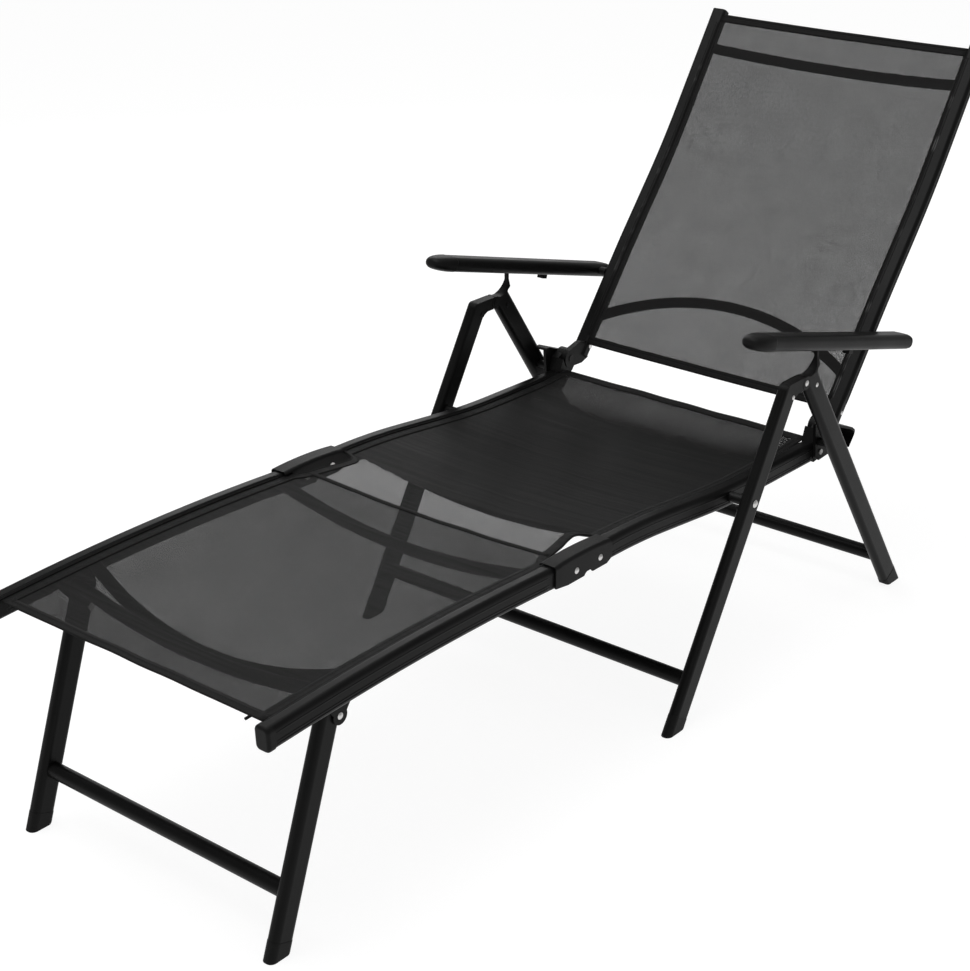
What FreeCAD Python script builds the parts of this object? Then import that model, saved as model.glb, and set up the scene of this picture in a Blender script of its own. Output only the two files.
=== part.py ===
import FreeCAD, Part
import math
import os

# A folding sun lounger: black aluminium tube frame, mesh slings, reclining back, hinged armrests.
# Millimetres. X is the width, Y the length (foot end at -Y, head end at +Y), Z is up.
# The origin is on the floor, under the middle of the length and width.
# Lengthwise stations below are measured from the middle of the seat; DATUM_Y moves them.

V = FreeCAD.Vector

DATUM_Y = 118.7                 # from the box's middle to the seat's datum line
FIT = 0.05                      # radial clearance of every pin in its hole

# Seat and leg-rest rails
RAIL_IN, RAIL_OUT = 250.0, 275.0     # inner and outer faces, from the centre line
RAIL_HEIGHT = 34.0
RAIL_EDGE = 8.0                      # rounding of a rail's long edges
RAIL_WALL = 1.8
SIDE_PLAY = 0.5                      # gap beside a rail that turns inside the knee cover

# Knee hinge
KNEE = (-390.0, 345.0)               # axis: station and height
KNEE_RIVET_BACK = (-334.0, 345.0)
KNEE_END_RADIUS = 18.0               # rounded end of the leg-rest rail, about the axis
COVER_WALL = 2.6
COVER_FRONT, COVER_REAR = -438.0, -308.0

# Leg rest
LEG_RAIL_PATH = [(-985.0, 346.0), (-690.0, 361.5), (-390.0, 345.0)]
LEG_RAIL_BEND = 4500.0
RAIL_CAP_LENGTH = 12.0

# Seat
SEAT_RAIL_PATH = [(-361.0, 345.5), (-240.0, 346.0), (10.0, 318.5), (262.0, 313.0)]
SEAT_RAIL_BEND = 1400.0
RAIL_FRONT_GAP = 0.4                 # between a seat rail's front end and the cover's inner step

# Back
BACK_AXIS = (294.0, 347.0)
BACK_RAIL_PATH = [(332.0, 342.0), (470.0, 520.0), (600.0, 676.0), (747.5, 893.4)]
BACK_RAIL_BEND = 1500.0
BACK_RAIL_IN, BACK_RAIL_OUT = 246.5, 274.5
BACK_RAIL_DEPTH = 20.0
BACK_RAIL_EDGE = 6.0
BACK_CAP_LENGTH = 8.0
HINGE_SPLIT_X = 260.7                # between the seat's knuckle and the back's
KNUCKLE_RADIUS = 17.0
KNUCKLE_GAP = 0.4
HINGE_BOLT_RADIUS = 4.0
PLATE_RIVET = (272.0, 313.0)         # lower rivet of the hinge plate
PLATE_GAP = 0.8                      # between a rail's outer face and the hinge plate
PLATE_THICK = 5.0
PLATE_RIM = 3.0                      # thickness of the rim along the plate's top and rear
PLATE_RIM_OUT = 300.5                # where the rim ends, just inside the rear leg
PLATE_OUTLINE = [(250.0, 371.0), (264.0, 370.5), (338.0, 341.0), (349.0, 333.0), (346.0, 325.0),
                 (331.0, 307.0), (300.0, 301.0), (268.0, 299.0), (257.0, 306.0)]
TONGUE_RIVET = (346.0, 357.0)        # holds a back rail on its casting

# Legs beside the seat
LEG_X = 311.0                        # middle of the front and rear legs, from the centre line
LEG_WIDE = 18.0                      # across X
LEG_DEEP = 39.5
LEG_EDGE = 8.5
LEG_WALL = 1.6
FRONT_LEG_TOP, FRONT_LEG_FOOT = (98.0, 475.0), (-180.0, 0.0)
REAR_LEG_TOP, REAR_LEG_FOOT = (162.0, 484.0), (498.5, 0.0)
LEG_AXIS = (10.0, 321.0)             # front leg on the seat rail
LEG_JOINT = (144.0, 480.0)           # rear leg on the front leg
JOINT_RADIUS = 11.0                  # of the fork's cheeks and of the ear between them
EAR_HALF = 3.4                       # half the ear's thickness
LUG_RIVET, POST_RIVET = (105.5, 467.5), (176.0, 468.0)
LUG_TOP = 491.0                      # level top of the front leg's casting
LEG_BOLT_RADIUS = 4.0
RIVET_RADIUS = 2.6
CROSSBAR_RADIUS = 12.0
FRONT_BAR_HEIGHT, REAR_BAR_HEIGHT = 71.0, 66.0
FOOT_HEIGHT = 22.0                   # seam of the plastic feet, above the floor
FOOT_OVER = 0.4                      # how far a foot stands out around its tube
HEEL_LONG, HEEL_HIGH = 12.0, 8.0     # the rounding at a foot's heel

# Posts that carry the armrests
POST_HALF = 3.0                      # half the neck's thickness
POST_FRONT, POST_REAR = 180.3, 185.3
POST_TOP = 530.5

# Foot-end legs
FOOT_LEG_X = 237.0
FOOT_LEG_WIDE = 20.0
FOOT_LEG_DEEP = 36.0
FOOT_LEG_TOP, FOOT_LEG_FOOT = (-847.1, 341.0), (-966.0, 0.0)
FOOT_LEG_AXIS = (-847.0, 306.0)
FOOT_BAR_HEIGHT = 83.0
FOOT_PLATE_THICK = 2.2

# Bowed cross tubes: end station and height, then middle station and height
CROSS_RADIUS = 9.5
CROSS_WALL = 1.5
LEG_FOOT_TUBE = [(-816.0, 353.0), (-843.0, 307.0)]
LEG_KNEE_TUBE = [(-437.0, 345.0), (-437.0, 313.0)]
STRETCHER_TUBE = [(-857.0, 338.0), (-864.0, 317.0)]
SEAT_FRONT_TUBE = [(-253.0, 345.0), (-253.0, 315.0)]
SEAT_REAR_TUBE = [(201.0, 312.0), (201.0, 271.0)]
BACK_LOW_TUBE = [(390.0, 406.0), (437.0, 457.0)]
BACK_HIGH_TUBE = [(717.5, 836.5), (730.0, 826.5)]

# Armrests, drawn along their own axis from the pivot towards the front tip
ARM_X = 310.5
ARM_PIVOT = (430.0, 470.5)
ARM_SLOPE = 14.9                     # degrees, front end up
ARM_FRONT, ARM_REAR = 465.0, -45.0
ARM_WIDE, ARM_HIGH = 45.0, 24.5
ARM_WALL = 2.6
ARM_EDGE = 11.0
FRONT_CAP_LENGTH, REAR_CAP_LENGTH = 46.0, 16.0
SLOT_FROM, SLOT_TO = 130.0, 410.0
SLOT_WIDE = 17.0
RACK_FROM, RACK_TO = 160.0, 395.0
RACK_WIDE, RACK_HIGH = 8.0, 9.0
RACK_NOTCHES = 6
NOTCH_RADIUS = 5.0
PEG_AT = 147.0

# Slings
SLING_THICK = 2.0
SLING_DROP = 5.5                     # middle of a sling below the top of its rails
BACK_SLING_DROP = 3.0                # and behind the front of the back rails
LEG_SLING_ENDS = (-980.0, -412.0)
SEAT_SLING_ENDS = (-372.0, 284.0)
BACK_SLING_ENDS = (372.0, 886.0)     # heights of its lower and upper hems
SLING_SIDE_GAP = 0.5

SIDES = [("left", -1.0), ("right", 1.0)]


# ---- geometry helpers ----

def point(place, x=0.0):
    """A station and height as a point in the model's frame."""
    return V(x, place[0] + DATUM_Y, place[1])


def rounded_path(points, bend):
    """Straight runs joined by tangent arcs of one radius."""
    edges = []
    start = points[0]
    for before, corner, after in zip(points, points[1:], points[2:]):
        into = (corner - before).normalize()
        out = (after - corner).normalize()
        turn = into.getAngle(out)
        reach = bend * math.tan(turn / 2)
        first = corner - into * reach
        last = corner + out * reach
        inward = (out - into).normalize()
        middle = corner + inward * (bend / math.cos(turn / 2) - bend)
        edges.append(Part.LineSegment(start, first).toShape())
        edges.append(Part.Arc(first, middle, last).toShape())
        start = last
    edges.append(Part.LineSegment(start, points[-1]).toShape())
    return Part.Wire(edges)


def oval(centre, tangent, wide, deep, edge):
    """A rounded rectangle across a path that lies in a plane of constant X."""
    across = V(1, 0, 0)
    up = tangent.cross(across).normalize()

    def at(x, y):
        return centre + across * x + up * y

    a, b = wide / 2 - edge, deep / 2 - edge
    bulge = edge * math.sqrt(0.5)
    edges = []
    for sx, sy in [(1, 1), (-1, 1), (-1, -1), (1, -1)]:
        side, cap = at(sx * wide / 2, sy * b), at(sx * a, sy * deep / 2)
        first, last = (side, cap) if sx == sy else (cap, side)
        if edges:
            edges.append(Part.LineSegment(before, first).toShape())
        edges.append(Part.Arc(first, at(sx * (a + bulge), sy * (b + bulge)), last).toShape())
        before = last
    edges.append(Part.LineSegment(before, at(wide / 2, b)).toShape())
    return Part.Wire(edges)


def bar(path, wide, deep, edge):
    """A solid bar of rounded-rectangle section along a path in a plane of constant X."""
    first = path.Edges[0]
    start = first.valueAt(first.FirstParameter)
    tangent = first.tangentAt(first.FirstParameter)
    return path.makePipeShell([oval(start, tangent, wide, deep, edge)], True, False)


def tube(path, wide, deep, edge, wall):
    """The same bar, hollow from end to end."""
    inner_edge = max(edge - wall, 1.0)
    hole = bar(path, wide - 2 * wall, deep - 2 * wall, inner_edge)
    return bar(path, wide, deep, edge).cut(hole)


def disc(place, x_from, x_to, radius):
    """A cylinder along X."""
    low, high = min(x_from, x_to), max(x_from, x_to)
    return Part.makeCylinder(radius, high - low, point(place, low), V(1, 0, 0))


def plate(outline, x_from, x_to):
    """A flat plate, extruded along X. An outline entry is a corner, or an arc's middle and end."""
    low, high = min(x_from, x_to), max(x_from, x_to)
    edges = []
    here = point(outline[0], low)
    for step in outline[1:] + outline[:1]:
        if isinstance(step[0], tuple):
            end = point(step[1], low)
            edges.append(Part.Arc(here, point(step[0], low), end).toShape())
        else:
            end = point(step, low)
            edges.append(Part.LineSegment(here, end).toShape())
        here = end
    return Part.Face(Part.Wire(edges)).extrude(V(high - low, 0, 0))


def block(x_range, y_range, z_range):
    """An upright box; the Y range is in stations."""
    low = V(min(x_range), min(y_range) + DATUM_Y, min(z_range))
    size = [max(r) - min(r) for r in (x_range, y_range, z_range)]
    return Part.makeBox(size[0], size[1], size[2], low)


def between_x(low, high):
    return block((low, high), (-2000, 2000), (-500, 2000))


def soften(shape, radius, pick):
    """Round the edges that pick() chooses; leave the shape alone if it can't be done."""
    edges = [e for e in shape.Edges if pick(e)]
    try:
        rounded = shape.makeFillet(radius, edges)
    except Part.OCCError:
        return shape
    return rounded if rounded.isValid() and rounded.Volume > 0 else shape


def runs_along_x(edge):
    a, b = edge.Vertexes[0].Point, edge.Vertexes[-1].Point
    return abs(a.y - b.y) < 1e-6 and abs(a.z - b.z) < 1e-6 and abs(a.x - b.x) > 1e-3


def rivet(place, x_from, x_to, radius=RIVET_RADIUS, head=4.6, head_high=1.8):
    """A rivet along X with a domed head outside x_to and a flat one outside x_from."""
    way = 1.0 if x_to > x_from else -1.0
    shank = disc(place, x_from, x_to, radius)
    dome = Part.makeSphere(head * 1.25, point(place, x_to - way * (head * 1.25 - head_high)))
    slab = disc(place, x_to, x_to + way * (head_high + 1), head)
    tail = disc(place, x_from - way * 1.0, x_from, head)
    return shank.fuse([dome.common(slab), tail]).removeSplitter()


def holes(shape, drills):
    """Cut pin holes: each drill is a place, an X range and the pin's radius."""
    for place, x_from, x_to, radius in drills:
        shape = shape.cut(disc(place, x_from, x_to, radius + FIT))
    return shape


def on_line(top, foot, height):
    """The station where a straight leg's axis passes a height."""
    part = (height - foot[1]) / (top[1] - foot[1])
    return foot[0] + part * (top[0] - foot[0])


def bowed_bar(ends, half_width, radius):
    """A round bar between two rails, bent into one arc away from the sling."""
    end, middle = ends
    arc = Part.Arc(point(end, -half_width), point(middle), point(end, half_width)).toShape()
    spare = CROSS_RADIUS / arc.Curve.Radius * 1.2
    longer = Part.ArcOfCircle(arc.Curve, arc.FirstParameter - spare, arc.LastParameter + spare).toShape()
    start = longer.valueAt(longer.FirstParameter)
    section = Part.Circle(start, longer.tangentAt(longer.FirstParameter), radius).toShape()
    solid = Part.Wire(longer).makePipeShell([Part.Wire(section)], True, False)
    return solid.common(between_x(-half_width, half_width))


def bowed_tube(ends, half_width):
    outer = bowed_bar(ends, half_width, CROSS_RADIUS)
    return outer.cut(bowed_bar(ends, half_width, CROSS_RADIUS - CROSS_WALL))


# ---- seat and leg rest ----

def rail_path(stations, bend, x):
    return rounded_path([point(place, x) for place in stations], bend)


def leg_rail(side):
    x = side * (RAIL_IN + RAIL_OUT) / 2
    wide = RAIL_OUT - RAIL_IN - 2 * SIDE_PLAY
    rail = tube(rail_path(LEG_RAIL_PATH, LEG_RAIL_BEND, x), wide, RAIL_HEIGHT, RAIL_EDGE, RAIL_WALL)
    nose = disc(KNEE, x - wide / 2, x + wide / 2, KNEE_END_RADIUS - 1)
    rail = rail.cut(disc(KNEE, x - wide, x + wide, KNEE_END_RADIUS))
    return rail.fuse(nose.fuse(knee_neck(x, wide))).removeSplitter()


def knee_neck(x, wide):
    """The cast plug that joins a leg-rest rail to its round hinge end."""
    reach = KNEE_END_RADIUS + 14
    inner = RAIL_HEIGHT / 2 - RAIL_WALL
    return block((x - wide / 2 + RAIL_WALL, x + wide / 2 - RAIL_WALL),
                 (KNEE[0] - reach, KNEE[0]), (KNEE[1] - inner + 2, KNEE[1] + inner - 2))


def leg_rail_drilled(side):
    drills = [(KNEE, side * (RAIL_IN - 5), side * (RAIL_OUT + 5), LEG_BOLT_RADIUS)]
    return holes(leg_rail(side), drills)


def rail_end_cap(side):
    """The plastic end of a leg-rest rail, swelling a little at its rim."""
    x = side * (RAIL_IN + RAIL_OUT) / 2
    start = point(LEG_RAIL_PATH[0], x)
    away = (start - point(LEG_RAIL_PATH[1], x)).normalize()
    path = Part.Wire(Part.LineSegment(start, start + away * RAIL_CAP_LENGTH).toShape())
    cap = bar(path, RAIL_OUT - RAIL_IN, RAIL_HEIGHT + 2.0, RAIL_EDGE)
    tip = start.y - RAIL_CAP_LENGTH * 0.7
    return soften(cap, 4.5, lambda e: max(v.Point.y for v in e.Vertexes) < tip)


def seat_rail(side):
    x = side * (RAIL_IN + RAIL_OUT) / 2
    rail = tube(rail_path(SEAT_RAIL_PATH, SEAT_RAIL_BEND, x), RAIL_OUT - RAIL_IN,
                RAIL_HEIGHT, RAIL_EDGE, RAIL_WALL)
    drills = [(KNEE_RIVET_BACK, side * (RAIL_IN - 5), side * (RAIL_OUT + 5), RIVET_RADIUS),
              (LEG_AXIS, side * (RAIL_IN - 5), side * (RAIL_OUT + 5), LEG_BOLT_RADIUS)]
    return holes(rail, drills)


def knee_cover(side):
    """An inverted channel over both rail ends, riveted to the seat rail and bored for the knee bolt."""
    low = KNEE[1] - RAIL_HEIGHT / 2 + 3.0
    crown = KNEE[1] + RAIL_HEIGHT / 2
    outline = [(COVER_FRONT, crown + 5.2), ((-372.0, crown + 6.8), (COVER_REAR, crown + 2.2)),
               (COVER_REAR, low + 4), (-318.0, low - 1), (-352.0, low - 1),
               ((-362.0, low + 4.5), (-372.0, low - 1)), (-410.0, low - 1), (COVER_FRONT, low + 3)]
    outer = plate(outline, side * (RAIL_IN - COVER_WALL), side * (RAIL_OUT + COVER_WALL))
    outer = soften(outer, 5.0, along_top(crown))
    step = SEAT_RAIL_PATH[0][0] - RAIL_FRONT_GAP
    open_end = COVER_FRONT - 12.0
    inside = plate([(open_end, crown + 3.6), (-415.0, crown + 3.2), (step, crown + 3.6), (step, low - 30),
                    (open_end, low - 30)], side * RAIL_IN, side * RAIL_OUT)
    inner_lip = block((side * (RAIL_IN - 6), side * (RAIL_IN + 0.01)), (open_end, COVER_FRONT + 16.0),
                      (low - 30, crown + 1.0))
    cover = outer.cut(inside).cut(rail_shadow(side)).cut(inner_lip)
    drills = [(KNEE, side * (RAIL_IN - 9), side * (RAIL_OUT + 9), LEG_BOLT_RADIUS),
              (KNEE_RIVET_BACK, side * (RAIL_IN - 9), side * (RAIL_OUT + 9), RIVET_RADIUS)]
    return holes(cover, drills)


def along_top(height):
    def pick(edge):
        points = [v.Point for v in edge.Vertexes]
        same_x = max(p.x for p in points) - min(p.x for p in points) < 1e-6
        return same_x and min(p.z for p in points) > height + 1
    return pick


def seat_bar(side):
    """A seat rail's outer form, filled in."""
    x = side * (RAIL_IN + RAIL_OUT) / 2
    return bar(rail_path(SEAT_RAIL_PATH, SEAT_RAIL_BEND, x), RAIL_OUT - RAIL_IN, RAIL_HEIGHT, RAIL_EDGE)


def rail_shadow(side):
    """The space that the seat rail fills inside the knee cover, open downwards."""
    solid = seat_bar(side)
    stretch = (SEAT_RAIL_PATH[0][0] - RAIL_FRONT_GAP, COVER_REAR + 18.0)
    under = block((side * RAIL_IN, side * RAIL_OUT), stretch, (250.0, KNEE[1]))
    return solid.fuse(under)


def knee_bolts():
    """Both rivets of each knee hinge."""
    solids = []
    for _, side in SIDES:
        for place, radius in [(KNEE, LEG_BOLT_RADIUS), (KNEE_RIVET_BACK, RIVET_RADIUS)]:
            solids.append(rivet(place, side * (RAIL_IN - COVER_WALL), side * (RAIL_OUT + COVER_WALL),
                                radius, 5.2, 2.2))
    return Part.Compound(solids)


# ---- rear corner: knuckles, hinge plates and bolts ----

def hinge_corner(side):
    """Plastic casting on the rear end of a seat rail, with the outer half of the hinge knuckle."""
    end = SEAT_RAIL_PATH[-1]
    front = end[0]
    low, high = end[1] - RAIL_HEIGHT / 2, end[1] + RAIL_HEIGHT / 2
    body = plate([(front, high), (front, low), (front + 14, low + 2), (front + 22, low + 12),
                  (276.0, 338.0), (270.0, 352.0)], side * RAIL_IN, side * RAIL_OUT)
    body = body.cut(disc(BACK_AXIS, side * (RAIL_IN - 1), side * HINGE_SPLIT_X, KNUCKLE_RADIUS + 1.2))
    half = [side * (HINGE_SPLIT_X + KNUCKLE_GAP / 2), side * RAIL_OUT]
    knuckle = disc(BACK_AXIS, half[0], half[1], KNUCKLE_RADIUS)
    web = plate([(270.0, 352.0), (front + 12, low + 6), (front + 24, low + 16), BACK_AXIS,
                 (288.0, 362.0)], half[0], half[1])
    shape = body.fuse([knuckle, web]).cut(seat_bar(side)).removeSplitter()
    return holes(shape, [(BACK_AXIS, side * (RAIL_IN - 9), side * (RAIL_OUT + 9), HINGE_BOLT_RADIUS),
                         (PLATE_RIVET, side * (RAIL_OUT - 3), side * (RAIL_OUT + 9), RIVET_RADIUS)])


def hinge_plate(side):
    """The link plate outside the corner, rimmed along its top and rear, that rests on the rear leg."""
    face = RAIL_OUT + PLATE_GAP
    pan = soften(plate(PLATE_OUTLINE, side * face, side * PLATE_RIM_OUT), 6.0, runs_along_x)
    hollow = plate(PLATE_OUTLINE, side * (face + PLATE_THICK), side * (PLATE_RIM_OUT + 1))
    hollow = soften(hollow, 6.0, runs_along_x)
    hollow.translate(V(0, -PLATE_RIM, -PLATE_RIM))
    below = block((side * (face + PLATE_THICK), side * (PLATE_RIM_OUT + 1)), (240.0, 330.0), (290.0, 320.0))
    boss = disc(PLATE_RIVET, side * RAIL_OUT, side * face, 8.0)
    shape = pan.cut(hollow).cut(below).fuse(boss).removeSplitter()
    drills = [(BACK_AXIS, side * (RAIL_OUT - 1), side * (RAIL_OUT + 9), HINGE_BOLT_RADIUS),
              (PLATE_RIVET, side * (RAIL_OUT - 1), side * (RAIL_OUT + 9), RIVET_RADIUS)]
    return holes(shape, drills)


def hinge_stop_pad(side):
    """The nylon pad between the hinge plate and the rear leg that slides past it."""
    place = (on_line(REAR_LEG_TOP, REAR_LEG_FOOT, 333.0), 333.0)
    return disc(place, side * (RAIL_OUT + PLATE_GAP + PLATE_THICK), side * (LEG_X - LEG_WIDE / 2 - 1.0), 7.0)


def back_tongue(side):
    """Plastic casting in the lower end of a back rail, with the inner half of the knuckle."""
    low_end = BACK_RAIL_PATH[0]
    inner = side * (RAIL_IN + 0.2)
    split = side * (HINGE_SPLIT_X - KNUCKLE_GAP / 2)
    knuckle = disc(BACK_AXIS, inner, split, KNUCKLE_RADIUS)
    web = plate([(288.0, 363.0), (320.0, 371.0), (341.0, 367.0), (low_end[0] + 12, low_end[1] - 6),
                 (low_end[0] - 6, low_end[1] - 12), (300.0, 331.0)], inner, split)
    shape = knuckle.fuse(web).removeSplitter()
    shape = shape.cut(back_bar(side)).fuse(tongue_plug(side)).removeSplitter()
    return holes(shape, [(BACK_AXIS, side * (RAIL_IN - 9), side * (RAIL_OUT + 9), HINGE_BOLT_RADIUS),
                         (TONGUE_RIVET, side * (RAIL_IN - 9), side * (RAIL_OUT + 9), RIVET_RADIUS)])


def tongue_plug(side):
    """The part of the casting that fills the lower end of the back rail."""
    spare = RAIL_WALL + 0.05
    plug = bar(back_path(side), BACK_RAIL_OUT - BACK_RAIL_IN - 2 * spare, BACK_RAIL_DEPTH - 2 * spare,
               BACK_RAIL_EDGE - RAIL_WALL)
    return plug.common(block((-300, 300), (300.0, 372.0), (300.0, 390.0)))


def tongue_rivets():
    """The rivet through each back rail and the casting inside it."""
    return pair(lambda side: rivet(TONGUE_RIVET, side * BACK_RAIL_IN, side * BACK_RAIL_OUT, head_high=1.0))


def hinge_bolts():
    """The bolt on the back's axis and the rivet below it, on each side."""
    solids = []
    face = RAIL_OUT + PLATE_GAP + PLATE_THICK
    for _, side in SIDES:
        solids.append(rivet(BACK_AXIS, side * (RAIL_IN + 0.2), side * face, HINGE_BOLT_RADIUS, 6.5, 2.6))
        lower = disc(PLATE_RIVET, side * (RAIL_OUT - 1.9), side * face, RIVET_RADIUS)
        head = disc(PLATE_RIVET, side * face, side * (face + 1.6), 4.6)
        solids.append(lower.fuse(head).removeSplitter())
    return Part.Compound(solids)


# ---- back ----

def back_path(side):
    x = side * (BACK_RAIL_IN + BACK_RAIL_OUT) / 2
    return rail_path(BACK_RAIL_PATH, BACK_RAIL_BEND, x)


def back_bar(side):
    return bar(back_path(side), BACK_RAIL_OUT - BACK_RAIL_IN, BACK_RAIL_DEPTH, BACK_RAIL_EDGE)


def back_rail(side):
    rail = tube(back_path(side), BACK_RAIL_OUT - BACK_RAIL_IN, BACK_RAIL_DEPTH, BACK_RAIL_EDGE, RAIL_WALL)
    drills = [(ARM_PIVOT, side * (BACK_RAIL_IN - 5), side * (BACK_RAIL_OUT + 5), LEG_BOLT_RADIUS),
              (TONGUE_RIVET, side * (BACK_RAIL_IN - 5), side * (BACK_RAIL_OUT + 5), RIVET_RADIUS)]
    return holes(rail, drills)


def back_cap(side):
    """The plastic plug in the top of a back rail."""
    x = side * (BACK_RAIL_IN + BACK_RAIL_OUT) / 2
    start = point(BACK_RAIL_PATH[-1], x)
    away = (start - point(BACK_RAIL_PATH[-2], x)).normalize()
    path = Part.Wire(Part.LineSegment(start, start + away * BACK_CAP_LENGTH).toShape())
    cap = bar(path, BACK_RAIL_OUT - BACK_RAIL_IN, BACK_RAIL_DEPTH, BACK_RAIL_EDGE)
    level = start.z + BACK_CAP_LENGTH * 0.3
    return soften(cap, 4.0, lambda e: min(v.Point.z for v in e.Vertexes) > level)


def arm_bolts():
    """Each armrest's pivot bolt, with the spacer that keeps the armrest off the rail."""
    solids = []
    wall = side_wall_x()
    for _, side in SIDES:
        bolt = disc(ARM_PIVOT, side * (BACK_RAIL_IN + RAIL_WALL), side * (wall + ARM_WALL + 1.5),
                    LEG_BOLT_RADIUS)
        spacer = disc(ARM_PIVOT, side * BACK_RAIL_OUT, side * (wall - 0.4), 8.0)
        head = disc(ARM_PIVOT, side * (wall + ARM_WALL + 1.5), side * (wall + ARM_WALL + 4.5), 6.0)
        solids.append(bolt.fuse([spacer, head]).removeSplitter())
    return Part.Compound(solids)


# ---- legs beside the seat ----

def straight(top, foot, x, beyond=0.0):
    """A leg's axis as a path, from the top to the floor and a little beyond."""
    start, end = point(top, x), point(foot, x)
    return Part.Wire(Part.LineSegment(start, end + (end - start).normalize() * beyond).toShape())


def leg_tube(top, foot, x, wide, deep):
    """A hollow leg, cut off square above its plastic foot."""
    seam = (on_line(top, foot, FOOT_HEIGHT), FOOT_HEIGHT)
    return tube(straight(top, seam, x), wide, deep, LEG_EDGE, LEG_WALL)


def leg_foot(top, foot, x, wide, deep):
    """The plastic foot: level where it stands, and rounded up at the heel, on the side it leans to."""
    seam = (on_line(top, foot, FOOT_HEIGHT), FOOT_HEIGHT)
    solid = bar(straight(seam, foot, x, 40.0), wide + 2 * FOOT_OVER, deep + 2 * FOOT_OVER,
                LEG_EDGE + FOOT_OVER * 0.9)
    lean = (top[0] - foot[0]) / (top[1] - foot[1])
    way = math.copysign(1.0, lean)
    heel = foot[0] + way * (deep / 2 + FOOT_OVER) * math.hypot(1.0, lean)
    toe = heel - way * 100.0
    sole = plate([(toe, 60.0), (toe, 0.0), (heel - way * HEEL_LONG, 0.0),
                  ((heel - way * HEEL_LONG * 0.25, HEEL_HIGH * 0.22), (heel + lean * HEEL_HIGH, HEEL_HIGH)),
                  (heel + way * 40.0, HEEL_HIGH), (heel + way * 40.0, 60.0)], x - wide, x + wide)
    return solid.common(sole)


def feet(top, foot, x, wide, deep):
    return Part.Compound([leg_foot(top, foot, side * x, wide, deep) for _, side in SIDES])


def crossbar(top, foot, height, half_width):
    place = (on_line(top, foot, height), height)
    outer = disc(place, -half_width, half_width, CROSSBAR_RADIUS)
    return outer.cut(disc(place, -half_width, half_width, CROSSBAR_RADIUS - CROSS_WALL))


def front_leg(side):
    x = side * LEG_X
    leg = leg_tube(FRONT_LEG_TOP, FRONT_LEG_FOOT, x, LEG_WIDE, LEG_DEEP)
    return holes(leg, [(LEG_AXIS, x - LEG_WIDE, x + LEG_WIDE, LEG_BOLT_RADIUS),
                       (LUG_RIVET, x - LEG_WIDE, x + LEG_WIDE, RIVET_RADIUS)])


def rear_leg(side):
    x = side * LEG_X
    leg = leg_tube(REAR_LEG_TOP, REAR_LEG_FOOT, x, LEG_WIDE, LEG_DEEP)
    leg = leg.cut(disc(LEG_JOINT, x - LEG_WIDE, x + LEG_WIDE, JOINT_RADIUS + 1.0))
    return holes(leg, [(POST_RIVET, x - LEG_WIDE, x + LEG_WIDE, RIVET_RADIUS)])


def leg_plug(top, foot, x, length):
    """A casting's plug in the top of a leg."""
    spare = 2 * LEG_WALL + 0.1
    start = point(top, x)
    down = (point(foot, x) - start).normalize()
    path = Part.Wire(Part.LineSegment(start - down * 2.0, start + down * length).toShape())
    return bar(path, LEG_WIDE - spare, LEG_DEEP - spare, LEG_EDGE - LEG_WALL)


def front_lug(side):
    """Casting in the top of a front leg: a plug, a level shoulder and the ear of the leg joint."""
    x = side * LEG_X
    half = LEG_WIDE / 2
    start = point(FRONT_LEG_TOP, x)
    up = (start - point(FRONT_LEG_FOOT, x)).normalize()
    cap = bar(Part.Wire(Part.LineSegment(start, start + up * 30.0).toShape()), LEG_WIDE, LEG_DEEP, LEG_EDGE)
    room = plate([(60.0, 440.0), (60.0, 470.0), (84.0, 481.0), ((88.5, 488.5), (97.0, LUG_TOP)),
                  (127.0, LUG_TOP), (127.0, 440.0)], x - half, x + half)
    bridge = plate([(97.0, LUG_TOP), (LEG_JOINT[0], LUG_TOP), (LEG_JOINT[0], 470.0), (120.0, 470.0),
                    (110.0, 465.0)], x - half, x + half)
    bridge = bridge.cut(disc(LEG_JOINT, x - half - 1, x + half + 1, JOINT_RADIUS + 1.0))
    bridge = bridge.cut(post_form(side, 0.8))
    web = plate([(110.0, LUG_TOP), (LEG_JOINT[0], LUG_TOP), (LEG_JOINT[0] - 5, 471.0), (112.0, 468.0)],
                x - EAR_HALF, x + EAR_HALF)
    ear = disc(LEG_JOINT, x - EAR_HALF, x + EAR_HALF, JOINT_RADIUS)
    plug = leg_plug(FRONT_LEG_TOP, FRONT_LEG_FOOT, x, 42.0)
    shape = plug.fuse([cap.common(room), bridge, web, ear]).cut(front_leg(side)).removeSplitter()
    return holes(shape, [(LEG_JOINT, x - half, x + half, LEG_BOLT_RADIUS),
                         (LUG_RIVET, x - LEG_WIDE, x + LEG_WIDE, RIVET_RADIUS)])


def post_form(side, spare=0.0):
    """The fork's shoulder, swept up in one hollow curve into the thin neck under the armrest."""
    x = side * LEG_X
    half = LEG_WIDE / 2 + spare
    curve = [(150.0 - spare, 489.0), ((174.0, 496.5), (POST_FRONT, 516.0))]
    neck = [(POST_FRONT, POST_TOP - 3), (POST_FRONT + 1.5, POST_TOP), (POST_REAR - 1.5, POST_TOP),
            (POST_REAR, POST_TOP - 3), (POST_REAR, 499.0)]
    side_form = plate(curve + neck + [(178.0, 495.0), (166.0, 481.0), (146.0, 469.5), (146.0 - spare, 480.0)],
                      x - half, x + half)
    taper = [(half, 460.0), (half, 490.0), (POST_HALF, 512.0), (POST_HALF, 540.0)]
    outline = [V(x + a, DATUM_Y + 100.0, z) for a, z in taper]
    outline += [V(x - a, DATUM_Y + 100.0, z) for a, z in reversed(taper)]
    front_form = Part.Face(Part.makePolygon(outline + outline[:1])).extrude(V(0, 120.0, 0))
    return side_form.common(front_form)


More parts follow.
